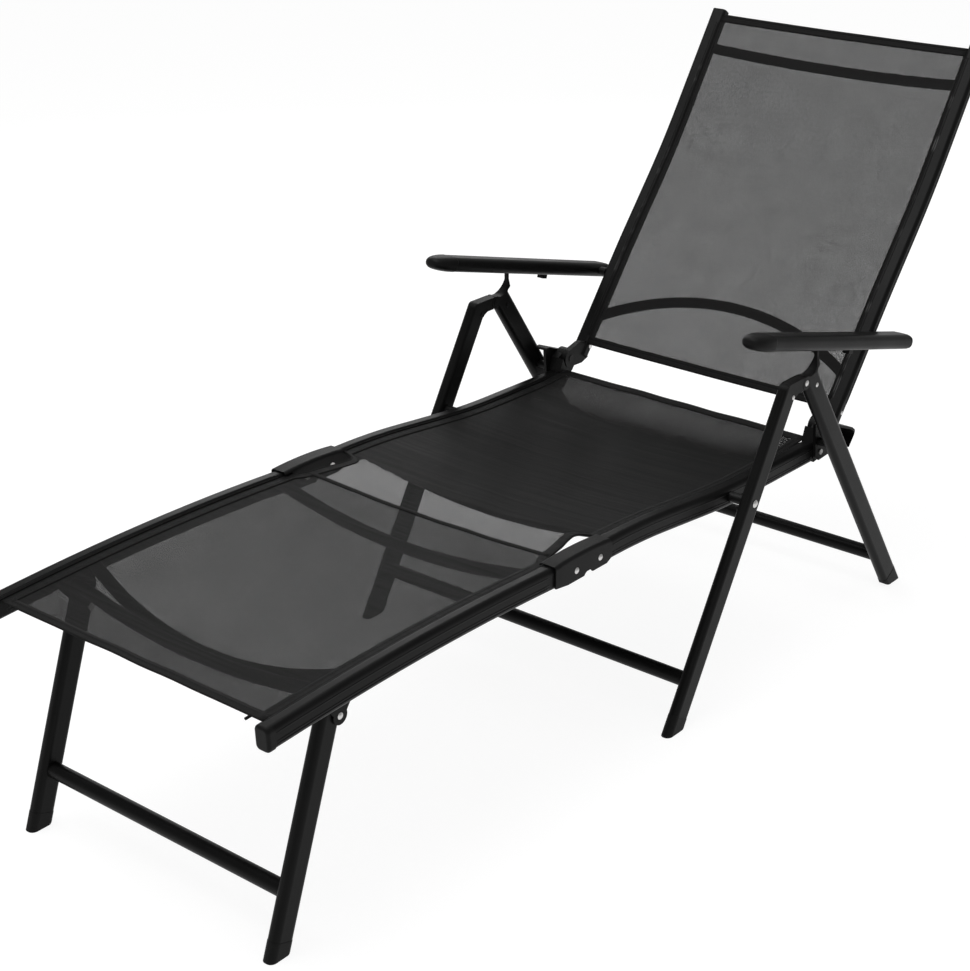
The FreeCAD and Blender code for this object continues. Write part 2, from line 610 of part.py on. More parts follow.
def arm_post(side):
    """Casting in the top of a rear leg: a fork over the front leg's ear and the armrest's post."""
    x = side * LEG_X
    half = LEG_WIDE / 2
    slot_half = EAR_HALF + KNUCKLE_GAP
    fork = disc(LEG_JOINT, x - half, x + half, JOINT_RADIUS)
    slot = disc(LEG_JOINT, x - slot_half, x + slot_half, JOINT_RADIUS + 1.0)
    mouth = plate([(LEG_JOINT[0] - 40, 505.0), (LEG_JOINT[0], 495.0), (LEG_JOINT[0] + 2, 465.0),
                   (LEG_JOINT[0] - 40, 440.0)], x - slot_half, x + slot_half)
    body = post_form(side).fuse([fork, leg_plug(REAR_LEG_TOP, REAR_LEG_FOOT, x, 40.0)])
    shape = body.cut(slot.fuse(mouth)).cut(rear_leg(side)).removeSplitter()
    return holes(shape, [(LEG_JOINT, x - half - 1, x + half + 1, LEG_BOLT_RADIUS),
                         (POST_RIVET, x - LEG_WIDE, x + LEG_WIDE, RIVET_RADIUS)])


def leg_pivot_bolts():
    """Bolt and spacer that hang each front leg on its seat rail."""
    solids = []
    for _, side in SIDES:
        inner, outer = side * (LEG_X - LEG_WIDE / 2), side * (LEG_X + LEG_WIDE / 2)
        bolt = rivet(LEG_AXIS, side * RAIL_IN, outer + side * 0.3, LEG_BOLT_RADIUS, 6.5, 3.0)
        spacer = disc(LEG_AXIS, side * RAIL_OUT, inner - side * 0.4, 8.5)
        solids.append(bolt.fuse(spacer).removeSplitter())
    return Part.Compound(solids)


def leg_rivet(place, side, radius, head, head_high):
    """A rivet through a leg from its inner to its outer face."""
    half = side * LEG_WIDE / 2
    x = side * LEG_X
    return rivet(place, x - half, x + half, radius, head, head_high)


def leg_joint_bolts():
    """The bolt through each fork and ear, and the rivet that holds the post's casting."""
    solids = []
    for _, side in SIDES:
        solids.append(leg_rivet(LEG_JOINT, side, LEG_BOLT_RADIUS, 5.6, 2.0))
        solids.append(leg_rivet(POST_RIVET, side, RIVET_RADIUS, 4.4, 1.5))
    return Part.Compound(solids)


def lug_rivet(side):
    return leg_rivet(LUG_RIVET, side, RIVET_RADIUS, 4.4, 1.5)


# ---- foot-end legs ----

def foot_leg(side):
    x = side * FOOT_LEG_X
    leg = leg_tube(FOOT_LEG_TOP, FOOT_LEG_FOOT, x, FOOT_LEG_WIDE, FOOT_LEG_DEEP)
    return holes(leg, [(FOOT_LEG_AXIS, x - FOOT_LEG_WIDE, x + FOOT_LEG_WIDE, LEG_BOLT_RADIUS)])


def foot_leg_plug(side):
    """Plastic plug that closes the top of a foot-end leg."""
    x = side * FOOT_LEG_X
    start = point(FOOT_LEG_TOP, x)
    away = (start - point(FOOT_LEG_FOOT, x)).normalize()
    path = Part.Wire(Part.LineSegment(start, start + away * 4.0).toShape())
    cap = bar(path, FOOT_LEG_WIDE, FOOT_LEG_DEEP, LEG_EDGE)
    return soften(cap, 2.5, lambda e: min(v.Point.z for v in e.Vertexes) > start.z + 3)


def foot_leg_plate(side):
    """Steel plate under a leg-rest rail that carries the foot-end leg's pivot."""
    inner, outer = side * (RAIL_IN - FOOT_PLATE_THICK), side * RAIL_IN
    axis = FOOT_LEG_AXIS[0]
    outline = [(axis - 35, 360.0), (axis + 32, 360.0), (axis + 32, 338.0), (axis + 12, 310.0),
               ((axis, 293.5), (axis - 12, 310.0)), (axis - 35, 338.0)]
    shape = plate(outline, inner, outer)
    shape = shape.cut(bowed_bar(LEG_FOOT_TUBE, RAIL_IN + 1.0, CROSS_RADIUS + 0.2))
    return holes(shape, [(FOOT_LEG_AXIS, side * 200, side * 260, LEG_BOLT_RADIUS)])


def foot_pivot_bolts():
    solids = []
    for _, side in SIDES:
        solids.append(rivet(FOOT_LEG_AXIS, side * (FOOT_LEG_X - FOOT_LEG_WIDE / 2 - 0.4), side * RAIL_IN,
                            LEG_BOLT_RADIUS, 5.6, 2.0))
    return Part.Compound(solids)


# ---- armrests ----

def arm_frame(shape, side):
    """Place a shape drawn along -Y from the pivot: tilt it front end up and carry it to the pivot."""
    placed = shape.copy()
    placed.rotate(V(0, 0, 0), V(1, 0, 0), -ARM_SLOPE)
    placed.translate(point(ARM_PIVOT, side * ARM_X))
    return placed


def side_wall_x():
    """Inner face of an armrest's inner side wall, from the centre line, less that wall."""
    return ARM_X - ARM_WIDE / 2


def arm_bar(start, end, wide, high, edge):
    path = Part.Wire(Part.LineSegment(V(0, -start, 0), V(0, -end, 0)).toShape())
    return bar(path, wide, high, edge)


def armrest(side):
    """An aluminium box section, slotted underneath for the post."""
    front, rear = ARM_FRONT - FRONT_CAP_LENGTH, ARM_REAR + REAR_CAP_LENGTH
    shell = arm_bar(rear, front, ARM_WIDE, ARM_HIGH, ARM_EDGE)
    hollow = arm_bar(rear - 1, front + 1, ARM_WIDE - 2 * ARM_WALL, ARM_HIGH - 2 * ARM_WALL,
                     ARM_EDGE - ARM_WALL)
    slot = Part.makeBox(SLOT_WIDE, SLOT_TO - SLOT_FROM, ARM_HIGH / 2,
                        V(-SLOT_WIDE / 2, -SLOT_TO, -ARM_HIGH / 2 - 1))
    bore = Part.makeCylinder(LEG_BOLT_RADIUS + FIT, ARM_WIDE / 2 + 2, V(0, 0, 0), V(-side, 0, 0))
    return arm_frame(shell.cut(hollow).cut(slot).cut(bore), side)


def arm_front_cap(side):
    """The bulbous plastic nose of an armrest."""
    start = ARM_FRONT - FRONT_CAP_LENGTH
    cap = arm_bar(start, ARM_FRONT, ARM_WIDE + 1.0, ARM_HIGH + 1.0, ARM_EDGE)
    tip = -start - FRONT_CAP_LENGTH * 0.6
    cap = soften(cap, 12.0, lambda e: max(v.Point.y for v in e.Vertexes) < tip)
    return arm_frame(cap, side)


def arm_rear_cap(side):
    start = ARM_REAR + REAR_CAP_LENGTH
    cap = arm_bar(start, ARM_REAR, ARM_WIDE, ARM_HIGH, ARM_EDGE)
    tip = -ARM_REAR - REAR_CAP_LENGTH * 0.3
    cap = soften(cap, 9.0, lambda e: min(v.Point.y for v in e.Vertexes) > tip)
    return arm_frame(cap, side)


def notch_rack(side):
    """Two toothed strips inside an armrest, one each side of the slot."""
    strips = []
    floor = -ARM_HIGH / 2 + ARM_WALL
    room = arm_bar(RACK_FROM - 1, RACK_TO + 1, ARM_WIDE - 2 * ARM_WALL, ARM_HIGH - 2 * ARM_WALL,
                   ARM_EDGE - ARM_WALL)
    pitch = (RACK_TO - RACK_FROM) / (RACK_NOTCHES + 1)
    for way in (-1, 1):
        low_x = SLOT_WIDE / 2 if way > 0 else -SLOT_WIDE / 2 - RACK_WIDE
        strip = Part.makeBox(RACK_WIDE, RACK_TO - RACK_FROM, RACK_HIGH, V(low_x, -RACK_TO, floor))
        for i in range(RACK_NOTCHES):
            centre = V(low_x - 1, -(RACK_FROM + pitch * (i + 1)), floor + RACK_HIGH)
            strip = strip.cut(Part.makeCylinder(NOTCH_RADIUS, RACK_WIDE + 2, centre, V(1, 0, 0)))
        strips.append(strip.common(room))
    return arm_frame(Part.Compound(strips), side)


def stop_peg(side):
    """The small peg under an armrest, inside its slot's rear end."""
    low = -ARM_HIGH / 2
    peg = Part.makeBox(12.0, 13.0, 16.0, V(-6.0, -PEG_AT - 6.5, low - 8.0))
    flange = Part.makeBox(24.0, 16.0, 2.5, V(-12.0, -PEG_AT - 8.0, low + ARM_WALL))
    return arm_frame(peg.fuse(flange).removeSplitter(), side)


# ---- slings ----

def sling(path, half_width, thick, drop):
    """A thin slab that follows a rail's line, set below the rails' top face."""
    first = path.Edges[0]
    start = first.valueAt(first.FirstParameter)
    tangent = first.tangentAt(first.FirstParameter)
    up = tangent.cross(V(1, 0, 0)).normalize()
    if up.z < 0:
        up = up * -1
    centre = start + up * drop
    corners = []
    for sx, sz in [(-1, -1), (1, -1), (1, 1), (-1, 1)]:
        corners.append(centre + V(sx * half_width, 0, 0) + up * (sz * thick / 2))
    outline = Part.makePolygon(corners + corners[:1])
    return path.makePipeShell([outline], True, False)


def seat_slings():
    half = RAIL_IN - COVER_WALL - SLING_SIDE_GAP
    offset = RAIL_HEIGHT / 2 - SLING_DROP
    leg = sling(rail_path(LEG_RAIL_PATH, LEG_RAIL_BEND, 0.0), half, SLING_THICK, offset)
    leg = leg.common(block((-300, 300), LEG_SLING_ENDS, (0, 500)))
    for _, side in SIDES:
        leg = leg.cut(foot_plate_room(side))
    seat = sling(rail_path(SEAT_RAIL_PATH, SEAT_RAIL_BEND, 0.0), half, SLING_THICK, offset)
    seat = seat.common(block((-300, 300), SEAT_SLING_ENDS, (0, 500)))
    return leg, seat


def foot_plate_room(side):
    return block((side * (RAIL_IN - FOOT_PLATE_THICK - 0.5), side * 260), (-888, -812), (300, 400))


def back_sling():
    half = BACK_RAIL_IN - SLING_SIDE_GAP
    offset = BACK_RAIL_DEPTH / 2 - BACK_SLING_DROP
    slab = sling(rail_path(BACK_RAIL_PATH, BACK_RAIL_BEND, 0.0), half, SLING_THICK, offset)
    return slab.common(block((-300, 300), (0, 1000), BACK_SLING_ENDS))


# ---- the whole object, one entry per node ----

def pair(maker):
    """The left and right copies of a small piece, which share a node."""
    return Part.Compound([maker(side) for _, side in SIDES])


def build():
    nodes = {}
    for name, side in SIDES:
        nodes["leg_rail_" + name] = leg_rail_drilled(side)
        nodes["foot_leg_" + name] = foot_leg(side)
        nodes["seat_rail_" + name] = seat_rail(side)
        nodes["knee_cover_" + name] = knee_cover(side)
        nodes["hinge_corner_" + name] = hinge_corner(side)
        nodes["back_rail_" + name] = back_rail(side)
        nodes["front_leg_" + name] = front_leg(side)
        nodes["rear_leg_" + name] = rear_leg(side)
        nodes["armrest_post_" + name] = arm_post(side)
        nodes["armrest_" + name] = armrest(side)
        nodes["armrest_front_cap_" + name] = arm_front_cap(side)
        nodes["armrest_rear_cap_" + name] = arm_rear_cap(side)
        nodes["notch_rack_" + name] = notch_rack(side)
        nodes["stop_peg_" + name] = stop_peg(side)

    nodes["leg_rail_end_caps"] = pair(rail_end_cap)
    nodes["foot_leg_plates"] = pair(foot_leg_plate)
    nodes["foot_leg_plugs"] = pair(foot_leg_plug)
    nodes["hinge_plates"] = pair(hinge_plate)
    nodes["hinge_pads"] = pair(hinge_stop_pad)
    nodes["back_tongues"] = pair(back_tongue)
    nodes["back_caps"] = pair(back_cap)
    nodes["front_leg_lugs"] = pair(front_lug)

    nodes["leg_foot_tube"] = bowed_tube(LEG_FOOT_TUBE, RAIL_IN)
    nodes["leg_knee_tube"] = bowed_tube(LEG_KNEE_TUBE, RAIL_IN + SIDE_PLAY)
    nodes["seat_front_tube"] = bowed_tube(SEAT_FRONT_TUBE, RAIL_IN)
    nodes["seat_rear_tube"] = bowed_tube(SEAT_REAR_TUBE, RAIL_IN)
    nodes["back_low_tube"] = bowed_tube(BACK_LOW_TUBE, BACK_RAIL_IN)
    nodes["back_high_tube"] = bowed_tube(BACK_HIGH_TUBE, BACK_RAIL_IN)
    nodes["foot_leg_stretcher"] = bowed_tube(STRETCHER_TUBE, FOOT_LEG_X - FOOT_LEG_WIDE / 2)

    leg_in = LEG_X - LEG_WIDE / 2
    foot_in = FOOT_LEG_X - FOOT_LEG_WIDE / 2
    nodes["front_crossbar"] = crossbar(FRONT_LEG_TOP, FRONT_LEG_FOOT, FRONT_BAR_HEIGHT, leg_in)
    nodes["rear_crossbar"] = crossbar(REAR_LEG_TOP, REAR_LEG_FOOT, REAR_BAR_HEIGHT, leg_in)
    nodes["foot_leg_crossbar"] = crossbar(FOOT_LEG_TOP, FOOT_LEG_FOOT, FOOT_BAR_HEIGHT, foot_in)

    nodes["front_feet"] = feet(FRONT_LEG_TOP, FRONT_LEG_FOOT, LEG_X, LEG_WIDE, LEG_DEEP)
    nodes["rear_feet"] = feet(REAR_LEG_TOP, REAR_LEG_FOOT, LEG_X, LEG_WIDE, LEG_DEEP)
    nodes["foot_leg_feet"] = feet(FOOT_LEG_TOP, FOOT_LEG_FOOT, FOOT_LEG_X, FOOT_LEG_WIDE, FOOT_LEG_DEEP)

    nodes["knee_bolts"] = knee_bolts()
    nodes["hinge_bolts"] = hinge_bolts()
    nodes["leg_pivot_bolts"] = leg_pivot_bolts()
    nodes["leg_joint_bolts"] = leg_joint_bolts()
    nodes["lug_rivets"] = pair(lug_rivet)
    nodes["tongue_rivets"] = tongue_rivets()
    nodes["foot_pivot_bolts"] = foot_pivot_bolts()
    nodes["armrest_bolts"] = arm_bolts()
    nodes["leg_sling"], nodes["seat_sling"] = seat_slings()
    nodes["back_sling"] = back_sling()
    return nodes


def main():
    os.makedirs("parts", exist_ok=True)
    for name, shape in build().items():
        shape.exportStep("parts/" + name + ".step")
        print(name, len(shape.Solids), "solid(s)", round(shape.Volume / 1000.0, 1), "cm3",
              "valid" if shape.isValid() else "NOT VALID")


main()
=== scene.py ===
import math

import bpy
import numpy as np
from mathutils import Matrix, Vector
from mathutils.bvhtree import BVHTree


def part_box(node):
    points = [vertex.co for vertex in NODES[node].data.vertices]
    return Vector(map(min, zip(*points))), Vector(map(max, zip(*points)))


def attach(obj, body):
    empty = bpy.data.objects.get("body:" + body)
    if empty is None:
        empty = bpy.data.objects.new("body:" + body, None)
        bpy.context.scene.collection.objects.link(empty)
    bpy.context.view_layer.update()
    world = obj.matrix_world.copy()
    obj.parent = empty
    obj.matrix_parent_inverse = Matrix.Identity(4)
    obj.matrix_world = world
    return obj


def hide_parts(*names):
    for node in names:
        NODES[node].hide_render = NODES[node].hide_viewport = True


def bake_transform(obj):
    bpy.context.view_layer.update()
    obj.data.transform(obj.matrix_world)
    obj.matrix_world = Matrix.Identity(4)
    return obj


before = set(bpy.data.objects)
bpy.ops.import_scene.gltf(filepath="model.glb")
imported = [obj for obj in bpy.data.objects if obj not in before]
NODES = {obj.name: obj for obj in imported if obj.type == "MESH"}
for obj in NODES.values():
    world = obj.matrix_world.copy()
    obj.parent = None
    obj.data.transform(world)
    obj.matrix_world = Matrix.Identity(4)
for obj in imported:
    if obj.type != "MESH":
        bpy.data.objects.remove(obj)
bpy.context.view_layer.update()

# A folding sun lounger: black powder-coated tube frame, open-mesh slings, hinged armrests.
# Metres, in the CAD's frame: X across, +Y towards the head end, Z up.

SIDES = (("left", -1.0), ("right", 1.0))

# Camera
CAMERA_PLACE = (1.78116, -2.30681, 1.58471)
CAMERA_AZIMUTH, CAMERA_ELEVATION = math.radians(39.38), math.radians(23.69)
CAMERA_LENS, CAMERA_SENSOR = 74.19, 36.0

# Studio
FLOOR_SIZE, FLOOR_CELLS = 40.0, 8
FLOOR_GLOW = 0.89               # lifts the floor to a plain white
SKY_GLOW = 0.4
# name, place, aim, size, watts
LIGHTS = (("key", (-0.6, -0.4, 3.2), (0.0, 0.1, 0.3), (2.6, 2.6), 72.0),
          ("rim", (-2.4, 2.2, 1.8), (0.0, 0.2, 0.4), (1.6, 1.2), 18.0),
          ("front", (2.6, -2.2, 2.2), (0.0, -0.2, 0.3), (1.4, 1.4), 7.0))

# Fasteners that show bare zinc in one part of a node only
OUTER_HEADS_BEYOND = 0.315     # distance from the middle, in X
PLATE_RIVETS_BELOW = 0.330     # height

# Slings
CLOTH_THICK = 0.0001           # what light passes through; the yarns' bulk is in the bump
HEM_THICK = 0.0009
HEM_LIFT = 0.0006              # hems lie on the cloth
HEM_OVER = 0.0008              # how far an end hem stands out past the cloth
SIDE_HEM = 0.017
BACK_SIDE_HEM = 0.0035
FOOT_HEM = 0.016
REAR_HEM, REAR_HEM_OVER = 0.020, 0.001
REAR_REACH = 0.016             # from the end of the CAD's seat sling to the rear hem
BACK_LOW_REACH = 0.009         # from the ends of the CAD's back sling to the back's hems
BACK_HIGH_REACH = 0.0095
SEAM_AHEAD = 0.012             # the cross seam lies this far in front of the knee
SEAM_FROM, SEAM_TO = -0.005, 0.004
SEAM_THICK = HEM_THICK * 1.3
SEAM_ACROSS = 0.995            # shares of the sling's half width
BINDING_ACROSS = 0.9985
BINDING_SPAN, BINDING_STEP = (0.012, 0.142), 0.0022     # from the front of the knee covers
BINDING_RADIUS = 0.0019
CORD_RADIUS = 0.0014
BACK_CORDS = (0.0016, 0.0090)  # inwards from the back's top and lower edges
CORD_END_RADIUS = 0.0021
STITCH_LONG, STITCH_GAP, THREAD_RADIUS = 0.0032, 0.0014, 0.00032
STITCH_SIDES = 5
SIDE_STITCHES_IN = 0.011       # thread rows, inwards from the edges of the long sling
FOOT_STITCHES_IN = 0.0095
REAR_STITCHES_IN = 0.0165
ROW, KNEE_ROW = 0.008, 0.003   # spacing of the rows of points on slings and rails
COLUMNS = 61
PROBE_X = 0.1                  # the slings' surfaces are measured at this X
PROBE_PAD = 0.004              # and no nearer to their ends than this
SLOT_REACH = 0.0012            # how far a sling's edge runs into its rail
SEAT_SAG = 0.009
LEG_SAG = 0.007
BACK_SAG = 0.006
RIPPLE, CREASE, BACK_RIPPLE = 0.0007, 0.0006, 0.0006    # small waves in the cloth
REAR_LIFT = 0.004              # the seat's rear hem rides a little above the rails' line
END_TAUT = 0.11                # a sling's sag dies out over this length towards its end hems
WEAVE_PITCH = 0.0010

# The long sling's edge beside a knee cover: distance along, and how far in from the cover
CUTOUT = ((0.0, 0.001), (0.020, 0.009), (0.060, 0.017), (0.082, 0.0235), (0.101, 0.027), (0.110, 0.022),
          (0.117, 0.010))
CUTOUT_FROM, CUTOUT_BEFORE, CUTOUT_END = 0.016, 0.006, 0.121
COVER_PLAY = 0.0012            # between the cloth and a knee cover
REAR_NARROW = 0.0025           # behind the rails' ends the cloth leaves its slots

# Bands of the back's end hems: from and to, inwards from the edge, and how open each looks
BACK_TOP_HEM = ((0.0032, 0.0115, 0.84), (-0.0008, 0.0034, 0.35))
BACK_LOW_HEM = ((-0.0008, 0.0068, 0.92), (0.0066, 0.0115, 0.30))

# How open the weave looks: the side of a hole as a share of the pitch, by region. The weave is even; the
# foot and seat values are painted shadow, and the knee and seat-rear values painted light, of the floor seen
# through the cloth
OPEN_BACK = 0.99
OPEN_LEG = 0.96
OPEN_KNEE_LIT = 1.38
OPEN_FOOT_SHADED = 0.84
OPEN_SEAT_SHADOWED = 0.50
OPEN_SEAT_REAR_LIT = 0.82
OPEN_HEM = 0.25
OPEN_FOOT_HEM = 0.15
FOOT_FADE = (0.05, 0.12)       # the foot end's painted shade ends over this span, from the foot hem
REAR_FADE = (0.17, 0.08)       # the painted light of the seat's rear starts over this one, before the rear hem
SHADOW_AHEAD = 0.066             # the painted shadow on the seat starts this far ahead of its front tube, in a bow
SHADOW_BOW, SHADOW_BOW_X = 0.028, 0.25

# Ridges of the rails' extrusions
TOP_BEADS = ((0.0016, 0.0135, 0.82), (0.0052, 0.0162, 0.35))   # inset, height over the middle, lean inwards
OUTER_BEADS = (0.0072, -0.0050, -0.0090)        # heights on the outer face
BACK_INNER_BEADS = (0.0046, 0.0082)             # insets on the back rails' front face
BACK_OUTER_BEADS = (0.004, -0.005)
BACK_BEAD_DEPTH = 0.00985
TOP_RIDGE, SIDE_RIDGE = (0.0009, 0.0009), (0.0011, 0.0008)      # half width and height
BACK_SIDE_RIDGE = (0.0010, 0.0008)
FACE_INSET = 0.00015
BEAD_STEP, BEAD_TAPER, BEAD_SUNK = 0.006, 0.012, 0.0006

# Armrests
ARM_PIVOT = Vector((0.3105, 0.5487, 0.4705))
ARM_SLOPE = math.radians(14.9)
NOSE_SPAN, NOSE_WIDE, NOSE_HIGH = (0.4195, 0.4652), 0.0450, 0.0247      # span from the pivot to the tip
TAIL_SPAN, TAIL_WIDE, TAIL_HIGH = (-0.0288, -0.0450), 0.0446, 0.0241
NOSE_FROM = 0.05               # share of a cap's length where its rounding starts
NOSE_RINGS = 26
NOSE_TIP = 0.04                # size of a cap's last ring as a share of its section
NOSE_LIP, TAIL_LIP = 0.0008, 0.0003
SEAM_SUNK = 0.0006             # a cap's first ring lies inside the armrest's section
BODY_SQUARE, TIP_SQUARE = 3.3, 2.2      # squareness of the section where the rounding starts and ends


# ---- camera, light and floor ----

def make_camera():
    back = Vector((math.sin(CAMERA_AZIMUTH) * math.cos(CAMERA_ELEVATION),
                   -math.cos(CAMERA_AZIMUTH) * math.cos(CAMERA_ELEVATION),
                   math.sin(CAMERA_ELEVATION)))
    data = bpy.data.cameras.new("camera")
    data.sensor_width = CAMERA_SENSOR
    data.lens = CAMERA_LENS
    data.clip_start, data.clip_end = 0.05, 200.0
    camera = bpy.data.objects.new("camera", data)
    camera.location = CAMERA_PLACE
    camera.rotation_mode = "QUATERNION"
    camera.rotation_quaternion = (-back).to_track_quat("-Z", "Y")
    bpy.context.scene.collection.objects.link(camera)
    bpy.context.scene.camera = camera


def area_light(name, place, aim, size, power):
    data = bpy.data.lights.new(name, "AREA")
    data.shape = "RECTANGLE"
    data.size, data.size_y = size
    data.energy = power
    lamp = bpy.data.objects.new(name, data)
    lamp.location = place
    lamp.rotation_mode = "QUATERNION"
    lamp.rotation_quaternion = (Vector(aim) - Vector(place)).to_track_quat("-Z", "Y")
    bpy.context.scene.collection.objects.link(lamp)


def make_studio():
    scene = bpy.context.scene
    scene.view_settings.view_transform = "Standard"
    scene.view_settings.look = "None"
    world = bpy.data.worlds.new("studio")
    world.use_nodes = True
    world.node_tree.nodes["Background"].inputs["Color"].default_value = (1.0, 1.0, 1.0, 1.0)
    world.node_tree.nodes["Background"].inputs["Strength"].default_value = SKY_GLOW
    scene.world = world
    for light in LIGHTS:
        area_light(*light)
    floor = mesh_piece("floor", *flat_grid(FLOOR_SIZE, FLOOR_CELLS), floor_material())


def flat_grid(size, cells):
    step = size / cells
    verts = [(i * step - size / 2, j * step - size / 2, 0.0)
             for j in range(cells + 1) for i in range(cells + 1)]
    row = cells + 1
    faces = [(j * row + i, j * row + i + 1, (j + 1) * row + i + 1, (j + 1) * row + i)
             for j in range(cells) for i in range(cells)]
    return verts, faces


# ---- node materials ----

class Tree:
    """A material's node tree, with short ways to add nodes and link them."""

    def __init__(self, name):
        self.material = bpy.data.materials.new(name)
        self.material.use_nodes = True
        self.nodes = self.material.node_tree.nodes
        self.links = self.material.node_tree.links
        self.shader = self.nodes["Principled BSDF"]

    def put(self, value, socket):
        if isinstance(value, bpy.types.NodeSocket):
            self.links.new(value, socket)
        else:
            socket.default_value = value

    def math(self, operation, a, b=0.0):
        node = self.nodes.new("ShaderNodeMath")
        node.operation = operation
        self.put(a, node.inputs[0])
        self.put(b, node.inputs[1])
        return node.outputs[0]

    def noise(self, scale, detail=2.0, stretch=(1.0, 1.0, 1.0), coordinates="Object", roughness=0.5):
        where = self.nodes.new("ShaderNodeTexCoord").outputs[coordinates]
        mapping = self.nodes.new("ShaderNodeMapping")
        mapping.inputs["Scale"].default_value = stretch
        self.links.new(where, mapping.inputs["Vector"])
        node = self.nodes.new("ShaderNodeTexNoise")
        node.inputs["Scale"].default_value = scale
        node.inputs["Detail"].default_value = detail
        node.inputs["Roughness"].default_value = roughness
        self.links.new(mapping.outputs[0], node.inputs["Vector"])
        return node.outputs["Fac"]

    def place(self, axis):
        """One coordinate of the shaded point, in the piece's own frame."""
        where = self.nodes.new("ShaderNodeTexCoord").outputs["Object"]
        parts = self.nodes.new("ShaderNodeSeparateXYZ")
        self.links.new(where, parts.inputs[0])
        return parts.outputs[axis]

    def between(self, value, low, high, from_low=0.3, from_high=0.7):
        node = self.nodes.new("ShaderNodeMapRange")
        for name, number in (("From Min", from_low), ("From Max", from_high),
                             ("To Min", low), ("To Max", high)):
            node.inputs[name].default_value = number
        self.links.new(value, node.inputs["Value"])
        return node.outputs["Result"]

    def mix(self, factor, a, b):
        node = self.nodes.new("ShaderNodeMix")
        node.data_type = "RGBA"
        self.put(factor, node.inputs["Factor"])
        self.put(a, node.inputs["A"])
        self.put(b, node.inputs["B"])
        return node.outputs["Result"]

    def bump(self, height, distance, strength=1.0, normal=None):
        node = self.nodes.new("ShaderNodeBump")
        node.inputs["Distance"].default_value = distance
        node.inputs["Strength"].default_value = strength
        self.links.new(height, node.inputs["Height"])
        if normal is not None:
            self.links.new(normal, node.inputs["Normal"])
        return node.outputs["Normal"]

    def set(self, **values):
        names = {"base": "Base Color", "roughness": "Roughness", "metallic": "Metallic",
                 "specular": "Specular IOR Level", "normal": "Normal", "alpha": "Alpha"}
        for key, value in values.items():
            self.put(value, self.shader.inputs[names[key]])


def grey(level, warmth=0.0):
    return (level * (1 + warmth), level, level * (1 - warmth), 1.0)


def floor_material():
    tree = Tree("pale_floor")
    cloudy = tree.noise(0.8, 3.0)
    tree.set(base=tree.mix(cloudy, grey(0.20), grey(0.21)), roughness=0.9, specular=0.0)
    tree.shader.inputs["Emission Color"].default_value = grey(1.0)
    tree.shader.inputs["Emission Strength"].default_value = FLOOR_GLOW
    return tree.material


def powder_coat(name="powder_coat_black", level=0.0034, gloss=0.34):
    """Satin powder coat: fine orange peel, cloudy sheen, a trace of dust and worn spots."""
    tree = Tree(name)
    peel = tree.noise(1500.0, 2.0)
    cloud = tree.noise(14.0, 4.0)
    dust = tree.noise(170.0, 6.0, roughness=0.7)
    wear_and_glint = tree.between(dust, 0.0, 1.0, 0.56, 0.74)
    tone = tree.mix(tree.between(cloud, 0.0, 1.0), grey(level), grey(level * 1.45))
    tree.set(base=tree.mix(tree.math("MULTIPLY", wear_and_glint, 0.5), tone, grey(level * 2.2, 0.02)),
             roughness=tree.math("ADD", tree.between(cloud, gloss, gloss + 0.09),
                                 tree.math("MULTIPLY", wear_and_glint, 0.08)),
             specular=0.09,
             normal=tree.bump(peel, 0.00006, 0.7, tree.bump(cloud, 0.0004, 0.25)))
    return tree.material


def moulded_plastic(name="moulded_plastic_black", level=0.0045, gloss=0.42):
    """Moulded nylon: fine spark texture, slightly greyer than the paint, with soft flow marks."""
    tree = Tree(name)
    spark = tree.noise(2600.0, 3.0, roughness=0.65)
    flow = tree.noise(22.0, 3.0, (1.0, 0.35, 1.0))
    scuff = tree.between(tree.noise(260.0, 5.0, (1.0, 0.2, 1.0)), 0.0, 1.0, 0.6, 0.78)
    tone = tree.mix(tree.between(flow, 0.0, 1.0), grey(level), grey(level * 1.35))
    tree.set(base=tree.mix(tree.math("MULTIPLY", scuff, 0.35), tone, grey(level * 2.6)),
             roughness=tree.between(flow, gloss, gloss + 0.1),
             specular=0.10,
             normal=tree.bump(spark, 0.00009, 0.8))
    return tree.material


def glint_streak_paint():
    """The ridge beside the back sling's edge: the same paint with long pale streaks of painted highlight."""
    tree = Tree("glint_streak_paint")
    # the pale streaks are painted highlight along the ridge
    streak = tree.between(tree.noise(24.0, 2.0, (1.0, 1.0, 0.8)), 0.0, 1.0, 0.54, 0.66)
    fine = tree.noise(700.0, 3.0)
    tree.set(base=tree.mix(streak, grey(0.0034), grey(0.055)),
             roughness=tree.between(fine, 0.34, 0.46),
             specular=0.09,
             normal=tree.bump(fine, 0.00005, 0.6))
    return tree.material


def painted_steel():
    return powder_coat("painted_steel_black", 0.0034, 0.40)


def zinc(name="zinc_plated_steel", bright=None):
    """Zinc-plated fasteners: turned rings, small scratches, slightly dull. bright(tree) says where the
    plating shows; elsewhere the fastener is painted over with the frame."""
    tree = Tree(name)
    fine = tree.noise(3200.0, 3.0, (0.15, 1.0, 1.0))
    patch = tree.noise(300.0, 4.0)
    plated = tree.mix(tree.between(patch, 0.0, 1.0), grey(0.50, 0.01), grey(0.66, 0.015))
    shown = bright(tree) if bright else 1.0
    tree.set(base=tree.mix(shown, grey(0.006), plated) if bright else plated,
             metallic=shown,
             specular=0.1,
             roughness=tree.between(patch, 0.30, 0.44),
             normal=tree.bump(fine, 0.00005, 0.6))
    return tree.material


def outer_heads(tree):
    return tree.math("GREATER_THAN", tree.math("ABSOLUTE", tree.place("X")), OUTER_HEADS_BEYOND)


def plate_rivets(tree):
    return tree.math("LESS_THAN", tree.place("Z"), PLATE_RIVETS_BELOW)


def rubber():
    return moulded_plastic("foot_plastic_black", 0.0042, 0.46)


